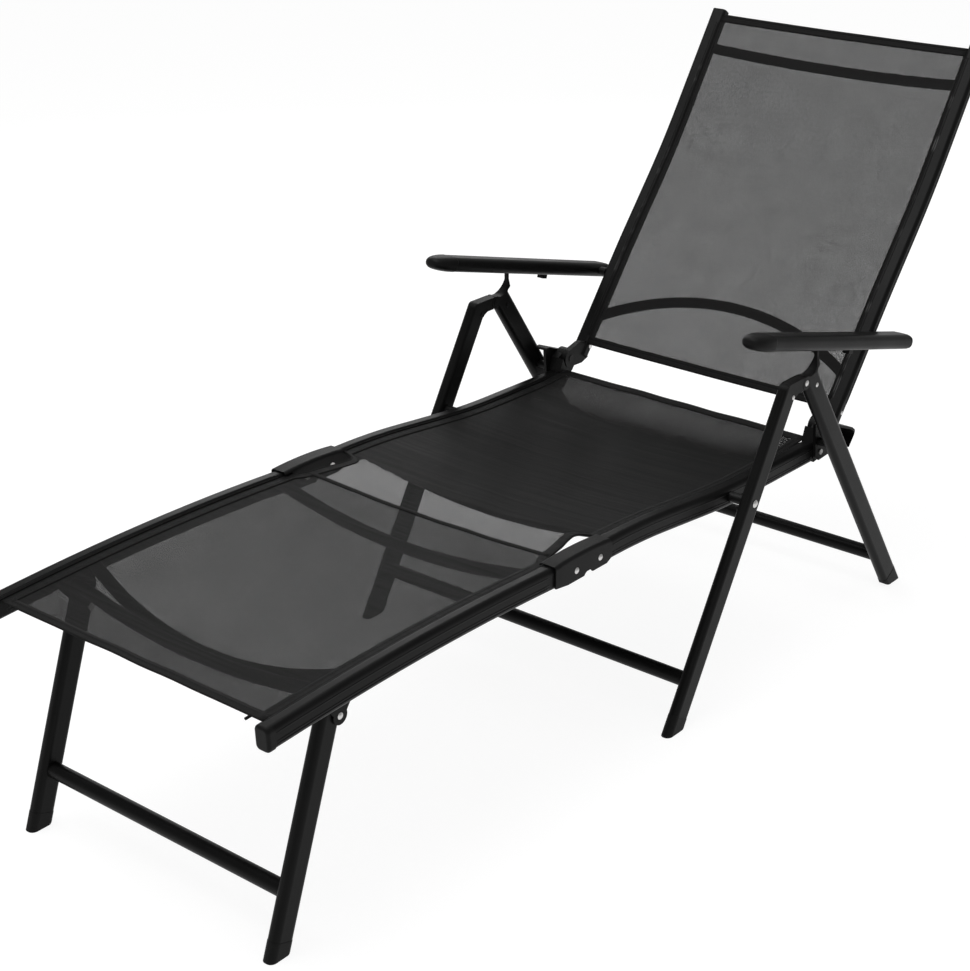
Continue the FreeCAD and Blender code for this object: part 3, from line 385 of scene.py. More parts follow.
def mesh_cloth(level=0.008):
    """Open plain weave of coated yarns; light passes through the holes between them."""
    tree = Tree("sling_cloth")
    uv = tree.nodes.new("ShaderNodeUVMap")
    uv.uv_map = "weave"
    parts = tree.nodes.new("ShaderNodeSeparateXYZ")
    tree.links.new(uv.outputs[0], parts.inputs[0])
    openness_and_shade = tree.nodes.new("ShaderNodeAttribute")
    openness_and_shade.attribute_name = "openness_and_shade"

    def stripes(axis):
        cycle = tree.math("MULTIPLY", parts.outputs[axis], 1.0 / WEAVE_PITCH)
        within = tree.math("SUBTRACT", tree.math("FRACT", cycle), 0.5)
        return tree.math("MULTIPLY", tree.math("ABSOLUTE", within), 2.0), cycle

    warp, warp_cycle = stripes("X")
    weft, weft_cycle = stripes("Y")
    streak = tree.noise(1.0, 4.0, (160.0, 3.0, 1.0), "UV", 0.6)
    slub = tree.noise(1.0, 4.0, (3.0, 160.0, 1.0), "UV", 0.6)
    cloud = tree.noise(26.0, 3.0)
    uneven = tree.math("ADD", tree.between(streak, -0.035, 0.035), tree.between(slub, -0.018, 0.018))
    uneven = tree.math("ADD", uneven, tree.between(cloud, -0.03, 0.03))
    # the per-point value sizes the holes region by region; besides the real hems it paints the floor's light
    # and shade seen through the cloth
    scale = tree.math("ADD", openness_and_shade.outputs["Fac"], uneven)

    def gap(distance, share):
        edge = tree.math("SUBTRACT", 1.0, tree.math("MULTIPLY", scale, share))
        return tree.math("GREATER_THAN", distance, edge)

    hole = tree.math("MULTIPLY", gap(warp, 0.44), gap(weft, 0.36))
    over = tree.math("MULTIPLY", tree.math("SINE", tree.math("MULTIPLY", warp_cycle, math.pi)),
                     tree.math("SINE", tree.math("MULTIPLY", weft_cycle, math.pi)))
    round_warp = tree.math("SUBTRACT", 1.0, tree.math("POWER", warp, 2.0))
    round_weft = tree.math("SUBTRACT", 1.0, tree.math("POWER", weft, 2.0))
    height = tree.math("ADD", tree.math("MAXIMUM", round_warp, round_weft),
                       tree.math("MULTIPLY", over, 0.35))
    tone = tree.mix(tree.between(streak, 0.0, 1.0), grey(level), grey(level * 1.35))
    tree.set(base=tree.mix(tree.between(cloud, 0.0, 1.0), tone, grey(level * 1.15, 0.01)),
             roughness=tree.between(slub, 0.5, 0.62),
             specular=0.05,
             alpha=tree.math("SUBTRACT", 1.0, hole),
             normal=tree.bump(height, 0.00018, 0.55))
    return tree.material


def sewn_tape():
    """Dense binding tape along the cut-outs and seams, with a fine twill rib."""
    tree = Tree("sewn_tape_black")
    rib = tree.nodes.new("ShaderNodeTexWave")
    rib.bands_direction = "DIAGONAL"
    rib.inputs["Scale"].default_value = 380.0
    rib.inputs["Distortion"].default_value = 1.5
    where = tree.nodes.new("ShaderNodeTexCoord")
    tree.links.new(where.outputs["Object"], rib.inputs["Vector"])
    fuzz = tree.noise(900.0, 3.0)
    tree.set(base=tree.mix(tree.between(fuzz, 0.0, 1.0), grey(0.006), grey(0.010)),
             roughness=0.72, specular=0.08,
             normal=tree.bump(rib.outputs["Fac"], 0.00015, 0.6))
    return tree.material


# ---- mesh helpers ----

def mesh_piece(name, verts, faces, material):
    mesh = bpy.data.meshes.new(name)
    mesh.from_pydata([tuple(v) for v in verts], [], faces)
    mesh.validate()
    mesh.polygons.foreach_set("use_smooth", [True] * len(mesh.polygons))
    mesh.materials.append(material)
    mesh.update()
    piece = bpy.data.objects.new(name, mesh)
    bpy.context.scene.collection.objects.link(piece)
    return piece


def tree_of(node):
    return BVHTree.FromObject(NODES[node], bpy.context.evaluated_depsgraph_get())


def through(bvh, origin, direction, reach=4.0):
    """Where a line enters and leaves a CAD part, from both sides."""
    direction = Vector(direction).normalized()
    near = bvh.ray_cast(Vector(origin) - direction * reach / 2, direction)[0]
    far = bvh.ray_cast(Vector(origin) + direction * reach / 2, -direction)[0]
    return near, far


def smooth_line(values, passes=3):
    values = np.array(values, float)
    for _ in range(passes):
        middle = (values[:-2] + 2 * values[1:-1] + values[2:]) / 4
        values = np.concatenate([values[:1], middle, values[-1:]])
    return values


class Line:
    """A smooth line in the plane of the side rails: points by distance along it."""

    def __init__(self, y, z):
        self.y, self.z = np.array(y), np.array(z)
        steps = np.hypot(np.diff(self.y), np.diff(self.z))
        self.s = np.concatenate([[0.0], np.cumsum(steps)])
        self.length = float(self.s[-1])

    def at(self, s):
        return np.interp(s, self.s, self.y), np.interp(s, self.s, self.z)

    def s_of_y(self, y):
        return np.interp(y, self.y, self.s)

    def s_of_z(self, z):
        return np.interp(z, self.z, self.s)

    def tangent(self, s):
        y0, z0 = self.at(np.asarray(s) - 0.004)
        y1, z1 = self.at(np.asarray(s) + 0.004)
        size = np.hypot(y1 - y0, z1 - z0)
        return (y1 - y0) / size, (z1 - z0) / size


def heights_along(bvh, x, stations):
    """Middle height of a part at each station, from vertical lines through it."""
    out = []
    for y in stations:
        top, under = through(bvh, (x, y, 0.5), (0, 0, -1))
        out.append((top.z + under.z) / 2)
    return out


def line_by_height(bvh, x, heights):
    """Middle station of a part at each height, from lines along Y through it."""
    out = []
    for z in heights:
        front, rear = through(bvh, (x, 0.5, z), (0, 1, 0))
        out.append((front.y + rear.y) / 2)
    return out


def slab(name, grid, uv, openness_and_shade, thick, material, lift):
    """A closed thin sheet from a grid of points, rows along the cloth; uv is in metres."""
    grid = np.array(grid, float)
    rows, cols = grid.shape[:2]
    along = np.gradient(grid, axis=0)
    across = np.gradient(grid, axis=1)
    normal = np.cross(across, along)
    normal /= np.linalg.norm(normal, axis=2, keepdims=True)
    top = grid + normal * (lift + thick / 2)
    bottom = grid + normal * (lift - thick / 2)
    count = rows * cols
    verts = np.concatenate([top.reshape(-1, 3), bottom.reshape(-1, 3)])
    faces = []
    for i in range(rows - 1):
        for j in range(cols - 1):
            a = i * cols + j
            b, c, d = a + 1, a + cols + 1, a + cols
            faces.append((a, b, c, d))
            faces.append((a + count, d + count, c + count, b + count))
    rim = list(range(cols)) + [i * cols + cols - 1 for i in range(1, rows)]
    rim += [(rows - 1) * cols + j for j in range(cols - 2, -1, -1)]
    rim += [i * cols for i in range(rows - 2, 0, -1)]
    for a, b in zip(rim, rim[1:] + rim[:1]):
        faces.append((b, a, a + count, b + count))
    piece = mesh_piece(name, verts, faces, material)
    add_weave(piece, np.tile(np.array(uv, float).reshape(-1, 2), (2, 1)),
              np.tile(np.array(openness_and_shade, float).reshape(-1), 2))
    return piece


def add_weave(piece, uv, openness_and_shade):
    mesh = piece.data
    layer = mesh.uv_layers.new(name="weave")
    corner = np.zeros(len(mesh.loops), int)
    mesh.loops.foreach_get("vertex_index", corner)
    layer.data.foreach_set("uv", uv[corner].ravel())
    values = mesh.attributes.new("openness_and_shade", "FLOAT", "POINT")
    values.data.foreach_set("value", openness_and_shade)


def loft(name, rings, material):
    """A skin through rings of points, with a fan at each end."""
    size = len(rings[0])
    verts = [p for ring in rings for p in ring]
    faces = []
    for i in range(len(rings) - 1):
        for j in range(size):
            a, b = i * size + j, i * size + (j + 1) % size
            faces.append((a, b, b + size, a + size))
    for ring, flip in ((0, True), (len(rings) - 1, False)):
        centre = sum((Vector(p) for p in rings[ring]), Vector()) / size
        verts.append(centre)
        hub = len(verts) - 1
        for j in range(size):
            a, b = ring * size + j, ring * size + (j + 1) % size
            faces.append((b, a, hub) if flip else (a, b, hub))
    return mesh_piece(name, verts, faces, material)


def rod(name, path, radius, material, sides=10):
    """A round cord or bead along a path of points."""
    points = [Vector(p) for p in path]
    rings = []
    for i, p in enumerate(points):
        ahead = points[min(i + 1, len(points) - 1)] - points[max(i - 1, 0)]
        ahead.normalize()
        side = ahead.cross(Vector((0, 0, 1)))
        if side.length < 0.2:
            side = ahead.cross(Vector((0, 1, 0)))
        side.normalize()
        up = side.cross(ahead)
        turn = [2 * math.pi * k / sides for k in range(sides)]
        rings.append([p + side * (radius * math.cos(t)) + up * (radius * math.sin(t)) for t in turn])
    return loft(name, rings, material)


def join(name, pieces):
    """Several meshes as one piece."""
    verts, faces, uvs, opens = [], [], [], []
    for piece in pieces:
        start = len(verts)
        verts += [v.co.copy() for v in piece.data.vertices]
        faces += [tuple(start + i for i in p.vertices) for p in piece.data.polygons]
        if "openness_and_shade" in piece.data.attributes:
            uv = np.zeros((len(piece.data.vertices), 2))
            for loop, data in zip(piece.data.loops, piece.data.uv_layers["weave"].data):
                uv[loop.vertex_index] = data.uv
            uvs.append(uv)
            opens.append(np.array([d.value for d in piece.data.attributes["openness_and_shade"].data]))
    material = pieces[0].data.materials[0]
    for piece in pieces:
        bpy.data.objects.remove(piece)
    whole = mesh_piece(name, verts, faces, material)
    if uvs:
        add_weave(whole, np.concatenate(uvs), np.concatenate(opens))
    return whole


# ---- the long sling over leg rest and seat ----

def rise(a, b, x):
    """0 before a, 1 after b, smooth between."""
    t = np.clip((np.asarray(x, float) - a) / (b - a), 0.0, 1.0)
    return t * t * (3 - 2 * t)


class LongSling:
    """The surface of the leg rest's and seat's sling, by share across (-1 to 1) and place along."""

    def __init__(self):
        leg_low, leg_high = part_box("leg_sling")
        seat_low, seat_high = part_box("seat_sling")
        knee_low, knee_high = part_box("knee_cover_right")
        rail_low, rail_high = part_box("seat_rail_right")
        self.rail_end = rail_high[1]
        self.foot = leg_low[1]
        self.rear = seat_high[1] + REAR_REACH
        self.cover_front, self.cover_rear = knee_low[1], knee_high[1]
        self.knee = 0.6 * self.cover_front + 0.4 * self.cover_rear
        self.cover_inside = knee_low[0]
        self.edge = rail_low[0] + SLOT_REACH
        leg_y = np.arange(leg_low[1] + PROBE_PAD, leg_high[1] - PROBE_PAD, ROW)
        seat_y = np.arange(seat_low[1] + PROBE_PAD, seat_high[1] - PROBE_PAD, ROW)
        leg_z = heights_along(tree_of("leg_sling"), PROBE_X, leg_y)
        seat_z = heights_along(tree_of("seat_sling"), PROBE_X, seat_y)
        y = np.arange(self.foot - 0.03, self.rear + 0.03, 0.005)
        z = np.interp(y, np.concatenate([leg_y, seat_y]), leg_z + seat_z)
        head = seat_y > self.rear - 0.15
        slope = np.polyfit(seat_y[head], np.array(seat_z)[head], 1)
        z = np.where(y > seat_y[-1], np.polyval(slope, y), z)
        toe = leg_y < self.foot + 0.12
        slope = np.polyfit(leg_y[toe], np.array(leg_z)[toe], 1)
        z = np.where(y < leg_y[0], np.polyval(slope, y), z)
        self.line = Line(y, smooth_line(z, 14))

    def half_width(self, y):
        """In the rails' slots, cut away in a long curve beside each knee cover."""
        full, cover = self.edge, self.cover_inside - COVER_PLAY
        start = self.cover_front + CUTOUT_FROM
        points_y = [start - CUTOUT_BEFORE] + [start + along for along, _ in CUTOUT] + [start + CUTOUT_END]
        points_x = [full] + [cover - inwards for _, inwards in CUTOUT] + [full]
        dense = np.linspace(points_y[0], points_y[-1], 60)
        edge = smooth_line(np.interp(dense, points_y, points_x), 5)
        beyond = rise(self.rail_end - 0.004, self.rail_end + 0.004, y)
        return np.interp(y, dense, edge, left=full, right=full) - REAR_NARROW * beyond

    def sag(self, y):
        seat = rise(self.cover_rear - 0.12, self.cover_rear + 0.2, y)
        ends = rise(self.foot, self.foot + END_TAUT, y) * (1 - rise(self.rear - END_TAUT, self.rear, y))
        return (LEG_SAG + (SEAT_SAG - LEG_SAG) * seat) * ends

    def point(self, u, y):
        """Points and weave coordinates: u runs from -1 to 1 across, y is the station."""
        u, y = np.broadcast_arrays(np.asarray(u, float), np.asarray(y, float))
        x = u * self.half_width(y)
        s = self.line.s_of_y(y)
        _, z = self.line.at(s)
        ripple = RIPPLE * np.sin(31.0 * x + 9.0 * y) * np.sin(17.0 * y + 2.0)
        ripple += CREASE * np.sin(55.0 * (x + 0.6 * y)) * rise(0.02, 0.2, 0.25 - np.abs(x))
        z = z + REAR_LIFT * rise(self.rear - 0.08, self.rear, y)
        z = z - self.sag(y) * (1 - u * u) + ripple * (1 - u * u)
        grid = np.stack([x, y, z], axis=-1)
        return grid, np.stack([x, s], axis=-1)

    def openness_and_shade(self, grid):
        """Foot end, leg rest, knee strip, seat and seat's rear each have their own; at the foot end and on
        the seat this is painted shadow, on the knee strip and the seat's rear painted light.
        """
        y, x = grid[..., 1], grid[..., 0]
        seam = self.knee - SEAM_AHEAD
        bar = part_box("seat_front_tube")
        # painted shadow on the seat, bowed like the front tube's shadow
        shadow_from = (bar[0][1] + bar[1][1]) / 2 - SHADOW_AHEAD + SHADOW_BOW * (x / SHADOW_BOW_X) ** 2
        past_foot = rise(self.foot + FOOT_FADE[0], self.foot + FOOT_FADE[1], y)
        leg_side = OPEN_FOOT_SHADED + (OPEN_LEG - OPEN_FOOT_SHADED) * past_foot
        leg_side = np.where(y > seam, OPEN_KNEE_LIT, leg_side)
        near_rear = rise(self.rear - REAR_FADE[0], self.rear - REAR_FADE[1], y)
        seat = OPEN_SEAT_SHADOWED + (OPEN_SEAT_REAR_LIT - OPEN_SEAT_SHADOWED) * near_rear
        return np.where(y > shadow_from, seat, leg_side)

    def patch(self, name, across, along, material, thick, lift=0.0, openness_and_shade=None):
        u, y = np.meshgrid(across, along)
        grid, uv = self.point(u, y)
        values = self.openness_and_shade(grid) if openness_and_shade is None else np.full(u.shape, openness_and_shade)
        return slab(name, grid, uv, values, thick, material, lift)


def blend_at_knee(piece, sling):
    """Bakes the piece's placement into its mesh; its shape already follows the leg rest before the knee and
    the seat after it.
    """
    _, z = sling.line.at(sling.line.s_of_y(sling.knee))
    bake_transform(piece)


def rows_along(start, end, coarse, fine_from, fine_to, fine):
    """Rows every coarse metres, and every fine metres between fine_from and fine_to."""
    first = np.arange(start, fine_from, coarse)
    middle = np.arange(fine_from, fine_to, fine)
    last = np.linspace(fine_to, end, int((end - fine_to) / coarse) + 1)
    return np.concatenate([first, middle, last])


def columns():
    """Shares across a sling, closer together towards its edges."""
    even = np.linspace(-1, 1, COLUMNS)
    return 0.6 * np.sin(even * math.pi / 2) + 0.4 * even


def hem_strips(sling, wide, along, points, cloth):
    """A narrow doubled strip along each edge of a sling."""
    strips = []
    for way in (-1, 1):
        us = np.sort(way * np.linspace(1 - wide / sling.edge, 1.0, points))
        strips.append(sling.patch("strip", us, along, cloth, HEM_THICK, HEM_LIFT, OPEN_HEM))
    return strips


def long_hems(sling, cloth, along):
    """The doubled side hems, foot hem and rear hem of the long sling."""
    edges = join("lounge_sling_side_hems", hem_strips(sling, SIDE_HEM, along, 5, cloth))
    blend_at_knee(edges, sling)
    foot = sling.patch("foot_hem", np.linspace(-1, 1, 41),
                       np.linspace(sling.foot - HEM_OVER, sling.foot + FOOT_HEM, 5), cloth, HEM_THICK,
                       HEM_LIFT, OPEN_FOOT_HEM)
    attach(foot, "leg_rest")
    rear = sling.patch("seat_rear_hem", np.linspace(-1, 1, 41),
                       np.linspace(sling.rear - REAR_HEM, sling.rear + REAR_HEM_OVER, 6), cloth, HEM_THICK,
                       HEM_LIFT, OPEN_HEM)
    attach(rear, "seat")
    return [edges, foot, rear]


def knee_trims(sling, tape):
    """The tape over the cross seam, and the bindings around the cut-outs beside the knee covers."""
    seam_at = sling.knee - SEAM_AHEAD
    seam = sling.patch("knee_seam", np.linspace(-SEAM_ACROSS, SEAM_ACROSS, 41),
                       np.linspace(seam_at + SEAM_FROM, seam_at + SEAM_TO, 4), tape, SEAM_THICK, HEM_LIFT)
    bindings = []
    cut = np.arange(sling.cover_front + BINDING_SPAN[0], sling.cover_front + BINDING_SPAN[1], BINDING_STEP)
    for way in (-1, 1):
        path, _ = sling.point(np.full(cut.shape, way * BINDING_ACROSS), cut)
        bindings.append(rod("binding", path, BINDING_RADIUS, tape, 8))
    binding = join("knee_cutout_bindings", bindings)
    for piece in (seam, binding):
        blend_at_knee(piece, sling)
    return [seam, binding]


def make_long_sling(cloth, tape):
    sling = LongSling()
    fine_from, fine_to = sling.cover_front - 0.01, sling.cover_rear + 0.02
    along = rows_along(sling.foot, sling.rear, ROW, fine_from, fine_to, KNEE_ROW)
    body = sling.patch("lounge_sling", columns(), along, cloth, CLOTH_THICK)
    blend_at_knee(body, sling)
    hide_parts("leg_sling", "seat_sling")
    trims = long_hems(sling, cloth, along) + knee_trims(sling, tape)
    trims += stitches_long(sling, tape)
    trims.append(cord_ends(sling, tape))
    width, length = 2 * sling.edge, float(sling.line.s_of_y(sling.rear) - sling.line.s_of_y(sling.foot))


def stitch_row(points, tape):
    """A line of thread stitches that follows a list of surface points."""
    points = np.array(points)
    s = np.concatenate([[0.0], np.cumsum(np.linalg.norm(np.diff(points, axis=0), axis=1))])
    up = np.array((0, 0, 1))
    verts, faces = [], []
    at = 0.002
    while at + STITCH_LONG < s[-1] - 0.002:
        a = np.array([np.interp(at, s, points[:, k]) for k in range(3)])
        b = np.array([np.interp(at + STITCH_LONG, s, points[:, k]) for k in range(3)])
        ahead = (b - a) / np.linalg.norm(b - a)
        side = np.cross(ahead, up)
        side /= np.linalg.norm(side)
        base = len(verts)
        for share, swell in ((0.0, 0.35), (0.3, 1.0), (0.7, 1.0), (1.0, 0.35)):
            centre = a + (b - a) * share + up * THREAD_RADIUS * 0.6 * swell
            for k in range(STITCH_SIDES):
                turn = 2 * math.pi * k / STITCH_SIDES
                verts.append(centre + (side * math.cos(turn) + up * math.sin(turn)) * THREAD_RADIUS * swell)
        for ring in range(3):
            for k in range(STITCH_SIDES):
                first = base + ring * STITCH_SIDES
                p, q = first + k, first + (k + 1) % STITCH_SIDES
                faces.append((p, q, q + STITCH_SIDES, p + STITCH_SIDES))
        faces.append(tuple(base + k for k in reversed(range(STITCH_SIDES))))
        faces.append(tuple(base + 3 * STITCH_SIDES + k for k in range(STITCH_SIDES)))
        at += STITCH_LONG + STITCH_GAP
    return mesh_piece("stitches", verts, faces, tape)


def stitches_long(sling, tape):
    """Thread rows beside the hems of the long sling."""
    lift_up = HEM_LIFT + HEM_THICK / 2
    rows = []
    for way in (-1, 1):
        inner = way * (1 - SIDE_STITCHES_IN / sling.edge)
        for low, high, body in ((sling.foot + 0.014, sling.cover_front - 0.004, "leg_rest"),
                                (sling.cover_rear + 0.022, sling.rear - 0.022, "seat")):
            ys = np.arange(low, high, 0.006)
            path, _ = sling.point(np.full(ys.shape, inner), ys)
            path[:, 2] += lift_up
            rows.append((stitch_row(path, tape), body))
    for y, body in ((sling.foot + FOOT_STITCHES_IN, "leg_rest"), (sling.rear - REAR_STITCHES_IN, "seat")):
        us = np.linspace(-0.93, 0.93, 120)
        path, _ = sling.point(us, np.full(us.shape, y))
        path[:, 2] += lift_up
        rows.append((stitch_row(path, tape), body))
    pieces = []
    for body in ("leg_rest", "seat"):
        piece = join(body + "_hem_stitches", [r for r, b in rows if b == body])
        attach(piece, body)
        pieces.append(piece)
    return pieces


def cord_ends(sling, tape):
    """The ends of the edge cords, which stick out of the foot hem beside each rail."""
    ends = []
    for way in (-1, 1):
        path, _ = sling.point(np.full(6, way * 0.90), np.linspace(sling.foot - 0.007, sling.foot + 0.006, 6))
        path[:, 2] -= 0.0012
        ends.append(rod("end", path, CORD_END_RADIUS, tape, 10))
    piece = join("sling_cord_ends", ends)
    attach(piece, "leg_rest")
    return piece


# ---- the back sling ----

class BackSling:
    """The surface of the back's sling, by share across and height."""

    def __init__(self):
        low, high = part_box("back_sling")
        rail_low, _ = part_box("back_rail_right")
        self.low, self.high = low[2] - BACK_LOW_REACH, high[2] + BACK_HIGH_REACH
        self.edge = rail_low[0] + SLOT_REACH
        heights = np.arange(low[2] + PROBE_PAD, high[2] - PROBE_PAD, ROW)
        y = line_by_height(tree_of("back_sling"), PROBE_X, heights)
        z = np.arange(self.low - 0.02, self.high + 0.02, 0.005)
        station = np.interp(z, heights, y)
        for end, mask in ((z < heights[0], heights < heights[0] + 0.1),
                          (z > heights[-1], heights > heights[-1] - 0.1)):
            slope = np.polyfit(heights[mask], np.array(y)[mask], 1)
            station = np.where(end, np.polyval(slope, z), station)
        self.line = Line(smooth_line(station, 14), z)

    def point(self, u, z):
        """Points and weave coordinates: u runs from -1 to 1 across, z is the height."""
        u, z = np.broadcast_arrays(np.asarray(u, float), np.asarray(z, float))
        x = u * self.edge
        s = self.line.s_of_z(z)
        y, _ = self.line.at(s)
        ty, tz = self.line.tangent(s)
        middle = (z - self.low) / (self.high - self.low)
        depth = BACK_SAG * (0.75 + 0.5 * np.sin(math.pi * np.clip(middle, 0, 1)))
        depth = depth + BACK_RIPPLE * np.sin(40.0 * z + 12.0 * x) * np.sin(23.0 * x)
        push = depth * (1 - u * u)
        grid = np.stack([x, y + tz * push, z - ty * push], axis=-1)
        return grid, np.stack([x, s], axis=-1)

    def patch(self, name, across, along, material, thick, lift, openness_and_shade):
        u, z = np.meshgrid(across, along)
        grid, uv = self.point(u, z)
        return slab(name, grid, uv, np.full(u.shape, openness_and_shade), thick, material, lift)


def make_back_sling(cloth, tape):
    sling = BackSling()
    body = sling.patch("back_sling_cloth", columns(), np.linspace(sling.low, sling.high, 75), cloth,
                       CLOTH_THICK, 0.0, OPEN_BACK)
    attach(body, "back")
    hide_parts("back_sling")
    along = np.linspace(sling.low, sling.high, 60)
    trims = [join("back_sling_side_hems", hem_strips(sling, BACK_SIDE_HEM, along, 4, cloth))]
    bands = [(sling.high - to, sling.high - start, openness_and_shade) for start, to, openness_and_shade in BACK_TOP_HEM]
    bands += [(sling.low + start, sling.low + to, openness_and_shade) for start, to, openness_and_shade in BACK_LOW_HEM]
    hems = [sling.patch("hem", np.linspace(-1, 1, 41), np.linspace(low, high, 4), cloth, HEM_THICK, HEM_LIFT,
                        openness_and_shade) for low, high, openness_and_shade in bands]
    trims.append(join("back_sling_end_hems", hems))
    cords = []
    for z in (sling.high - BACK_CORDS[0], sling.low + BACK_CORDS[1]):
        us = np.linspace(-0.985, 0.985, 60)
        path, _ = sling.point(us, np.full(us.shape, z))
        cords.append(rod("cord", path, CORD_RADIUS, tape, 8))
    trims.append(join("back_hem_cords", cords))
    for piece in trims:
        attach(piece, "back")
    length = float(sling.line.s_of_z(sling.high) - sling.line.s_of_z(sling.low))


# ---- rail details ----

def bead(line, x, up_by, ridge, material, lean):
    """A low half-round ridge of the extrusion along a rail, tapered at both ends. lean is the way its
    crown faces, as parts of X and of the rail's own up direction."""
    half, high = ridge
    rings = []
    side = np.array([1.0, 0.0, 0.0])
    for s in np.arange(0.0, line.length, BEAD_STEP):
        y, z = line.at(s)
        ty, tz = line.tangent(s)
        up = np.array([0.0, -tz, ty])
        centre = np.array([x, float(y), float(z)]) + up * up_by
        face = up * lean[2] + side * lean[0]
        across = up * lean[0] - side * lean[2]
        end = min(1.0, s / BEAD_TAPER + 0.2, (line.length - s) / BEAD_TAPER + 0.2)
        ring = []
        for k in range(9):
            turn = math.pi * k / 8
            ring.append(centre + across * (half * math.cos(turn)) + face * (high * end * math.sin(turn)))
        for share in (0.5, -0.5):
            ring.append(centre + across * (half * share) - face * BEAD_SUNK)
        rings.append(ring)
    return loft("bead", rings, material)


def rail_line(node, x, stations):
    """Centre line of a side rail."""
    return Line(stations, smooth_line(heights_along(tree_of(node), x, stations), 6))


def make_rail_beads(paint):
    knee_low, knee_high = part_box("knee_cover_right")
    leg_low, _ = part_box("leg_rail_right")
    _, seat_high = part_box("seat_rail_right")
    for label, body, first, last in (("leg_rail", "leg_rest", leg_low[1] + 0.003, knee_low[1] - 0.007),
                                     ("seat_rail", "seat", knee_high[1] + 0.006, seat_high[1] - 0.004)):
        low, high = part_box(label + "_right")
        line = rail_line(label + "_right", (low[0] + high[0]) / 2, np.arange(first, last, ROW))
        for side_name, side in SIDES:
            parts = []
            for inset, depth, tilt in TOP_BEADS:
                lean = (-side * tilt, 0, math.sqrt(1 - tilt * tilt))
                parts.append(bead(line, side * (low[0] + inset), depth, TOP_RIDGE, paint, lean))
            for up_by in OUTER_BEADS:
                face = side * (high[0] - FACE_INSET)
                parts.append(bead(line, face, up_by, SIDE_RIDGE, paint, (side, 0, 0)))
            piece = join(label + "_beads_" + side_name, parts)
            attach(piece, body)


def back_rail_line():
    """Centre line of a back rail, and the rail's box."""
    low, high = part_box("back_rail_right")
    heights = np.arange(low[2] + 0.035, high[2] - 0.014, ROW)
    middle = (low[0] + high[0]) / 2
    stations = line_by_height(tree_of("back_rail_right"), middle, heights)
    return Line(smooth_line(stations, 6), heights), low, high


def make_back_beads(paint, wear_and_glint):
    line, low, high = back_rail_line()
    for side_name, side in SIDES:
        # the inner beads take the paint with streaks of painted highlight
        inner = [bead(line, side * (low[0] + inset), BACK_BEAD_DEPTH, SIDE_RIDGE, wear_and_glint, (0, 0, 1))
                 for inset in BACK_INNER_BEADS]
        outer = [bead(line, side * (high[0] - FACE_INSET), up_by, BACK_SIDE_RIDGE, paint, (side, 0, 0))
                 for up_by in BACK_OUTER_BEADS]
        for name, parts in (("back_rail_edge_beads_", inner), ("back_rail_beads_", outer)):
            piece = join(name + side_name, parts)
            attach(piece, "back")


# ---- armrest ends ----

def arm_axes(side):
    ahead = Vector((0.0, -math.cos(ARM_SLOPE), math.sin(ARM_SLOPE)))
    up = Vector((0.0, math.sin(ARM_SLOPE), math.cos(ARM_SLOPE)))
    pivot = Vector((side * ARM_PIVOT.x, ARM_PIVOT.y, ARM_PIVOT.z))
    return pivot, ahead, up


def rounded_ring(centre, side, up, half_wide, half_high, squareness, count=40):
    ring = []
    for k in range(count):
        turn = 2 * math.pi * k / count
        c, s = math.cos(turn), math.sin(turn)
        x = math.copysign(abs(c) ** (2 / squareness), c)
        y = math.copysign(abs(s) ** (2 / squareness), s)
        ring.append(centre + side * (half_wide * x) + up * (half_high * y))
    return ring


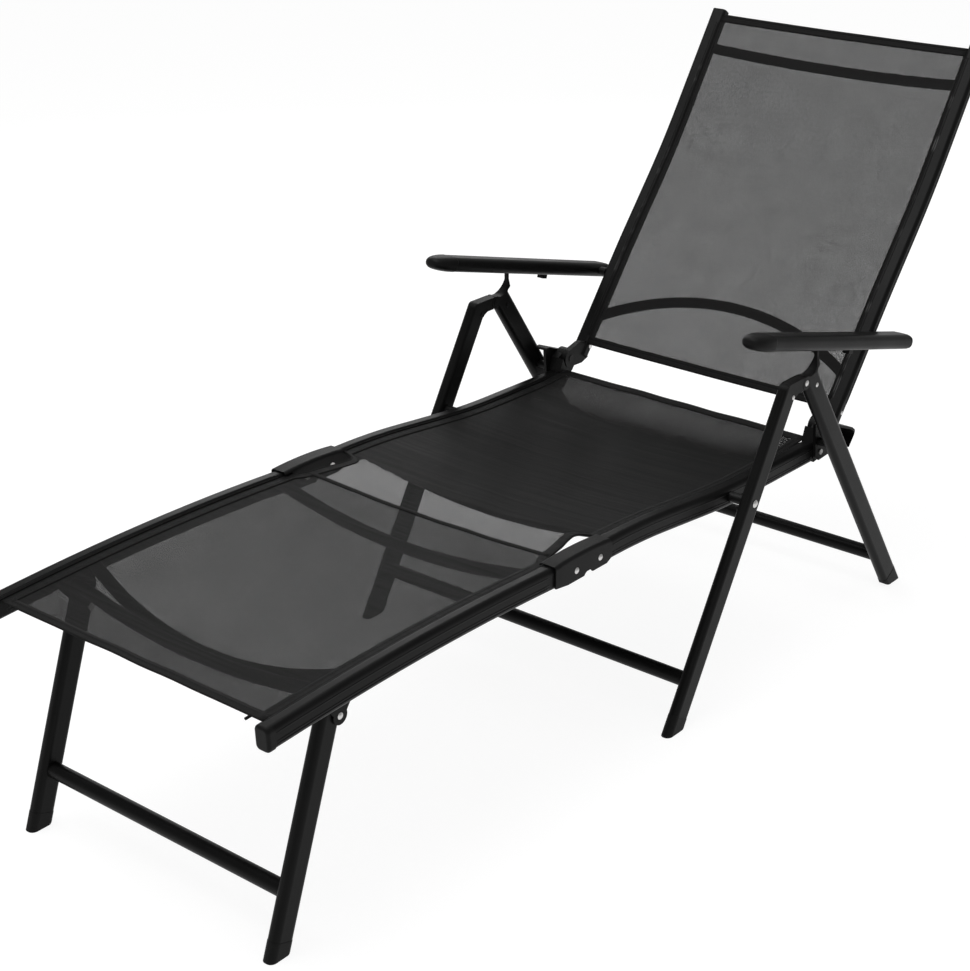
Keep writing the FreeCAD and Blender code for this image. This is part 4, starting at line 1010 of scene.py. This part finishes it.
def arm_end(name, side, span, wide, high, lip, material):
    """A moulded end: a small lip at the seam, then a full rounded nose."""
    pivot, ahead, up = arm_axes(side)
    across = Vector((1.0, 0.0, 0.0))
    start = span[0]
    length = span[1] - start
    rings = []
    for t, swell in ((0.0, -SEAM_SUNK), (0.012, lip * 0.6), (0.03, lip), (NOSE_FROM, lip)):
        place = pivot + ahead * (start + length * t)
        rings.append(rounded_ring(place, across, up, wide / 2 + swell, high / 2 + swell, BODY_SQUARE))
    for k in range(1, NOSE_RINGS + 1):
        angle = (k / NOSE_RINGS) ** 0.85 * math.pi / 2
        t = NOSE_FROM + (1 - NOSE_FROM) * math.sin(angle)
        plan = math.cos(angle) ** 0.62
        lift = math.cos(angle) ** 0.52
        place = pivot + ahead * (start + length * t) + up * (-SEAM_SUNK * math.sin(angle))
        if k == NOSE_RINGS:
            plan, lift = NOSE_TIP, NOSE_TIP
        squareness = BODY_SQUARE - (BODY_SQUARE - TIP_SQUARE) * math.sin(angle)
        rings.append(rounded_ring(place, across, up, (wide / 2 + lip) * plan, (high / 2 + lip) * lift,
                                  squareness))
    piece = loft(name, rings, material)
    return piece


def make_arm_ends(plastic):
    for label, side in SIDES:
        body = "armrest_" + label
        nose = arm_end("armrest_nose_" + label, side, NOSE_SPAN, NOSE_WIDE, NOSE_HIGH, NOSE_LIP, plastic)
        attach(nose, body)
        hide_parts("armrest_front_cap_" + label)
        tail = arm_end("armrest_tail_" + label, side, TAIL_SPAN, TAIL_WIDE, TAIL_HIGH, TAIL_LIP, plastic)
        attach(tail, body)
        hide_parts("armrest_rear_cap_" + label)


# ---- everything together ----

def finish_of(node):
    """Which material a CAD node gets."""
    if "feet" in node:
        return "rubber"
    if node in ("armrest_bolts", "hinge_plates", "foot_leg_plates"):
        return "steel"
    if node in ("leg_pivot_bolts", "leg_joint_bolts", "lug_rivets"):
        return "outer_zinc"
    if node == "hinge_bolts":
        return "lower_zinc"
    if node.endswith(("bolts", "rivets")):
        return "zinc"
    plastics = ("cap", "cover", "corner", "tongue", "pads", "rack", "peg", "plug", "post", "lugs")
    if any(word in node for word in plastics):
        return "plastic"
    return "paint"


def main():
    materials = {"paint": powder_coat(), "plastic": moulded_plastic(), "steel": painted_steel(),
                 "zinc": zinc(), "outer_zinc": zinc("zinc_outer_heads", outer_heads),
                 "lower_zinc": zinc("zinc_plate_rivets", plate_rivets), "rubber": rubber()}
    cloth = mesh_cloth()
    tape = sewn_tape()
    make_camera()
    make_studio()
    for name, node in NODES.items():
        node.data.materials.clear()
        node.data.materials.append(materials[finish_of(name)])
    make_long_sling(cloth, tape)
    make_back_sling(cloth, tape)
    make_rail_beads(materials["paint"])
    make_back_beads(materials["paint"], glint_streak_paint())
    make_arm_ends(materials["plastic"])


main()
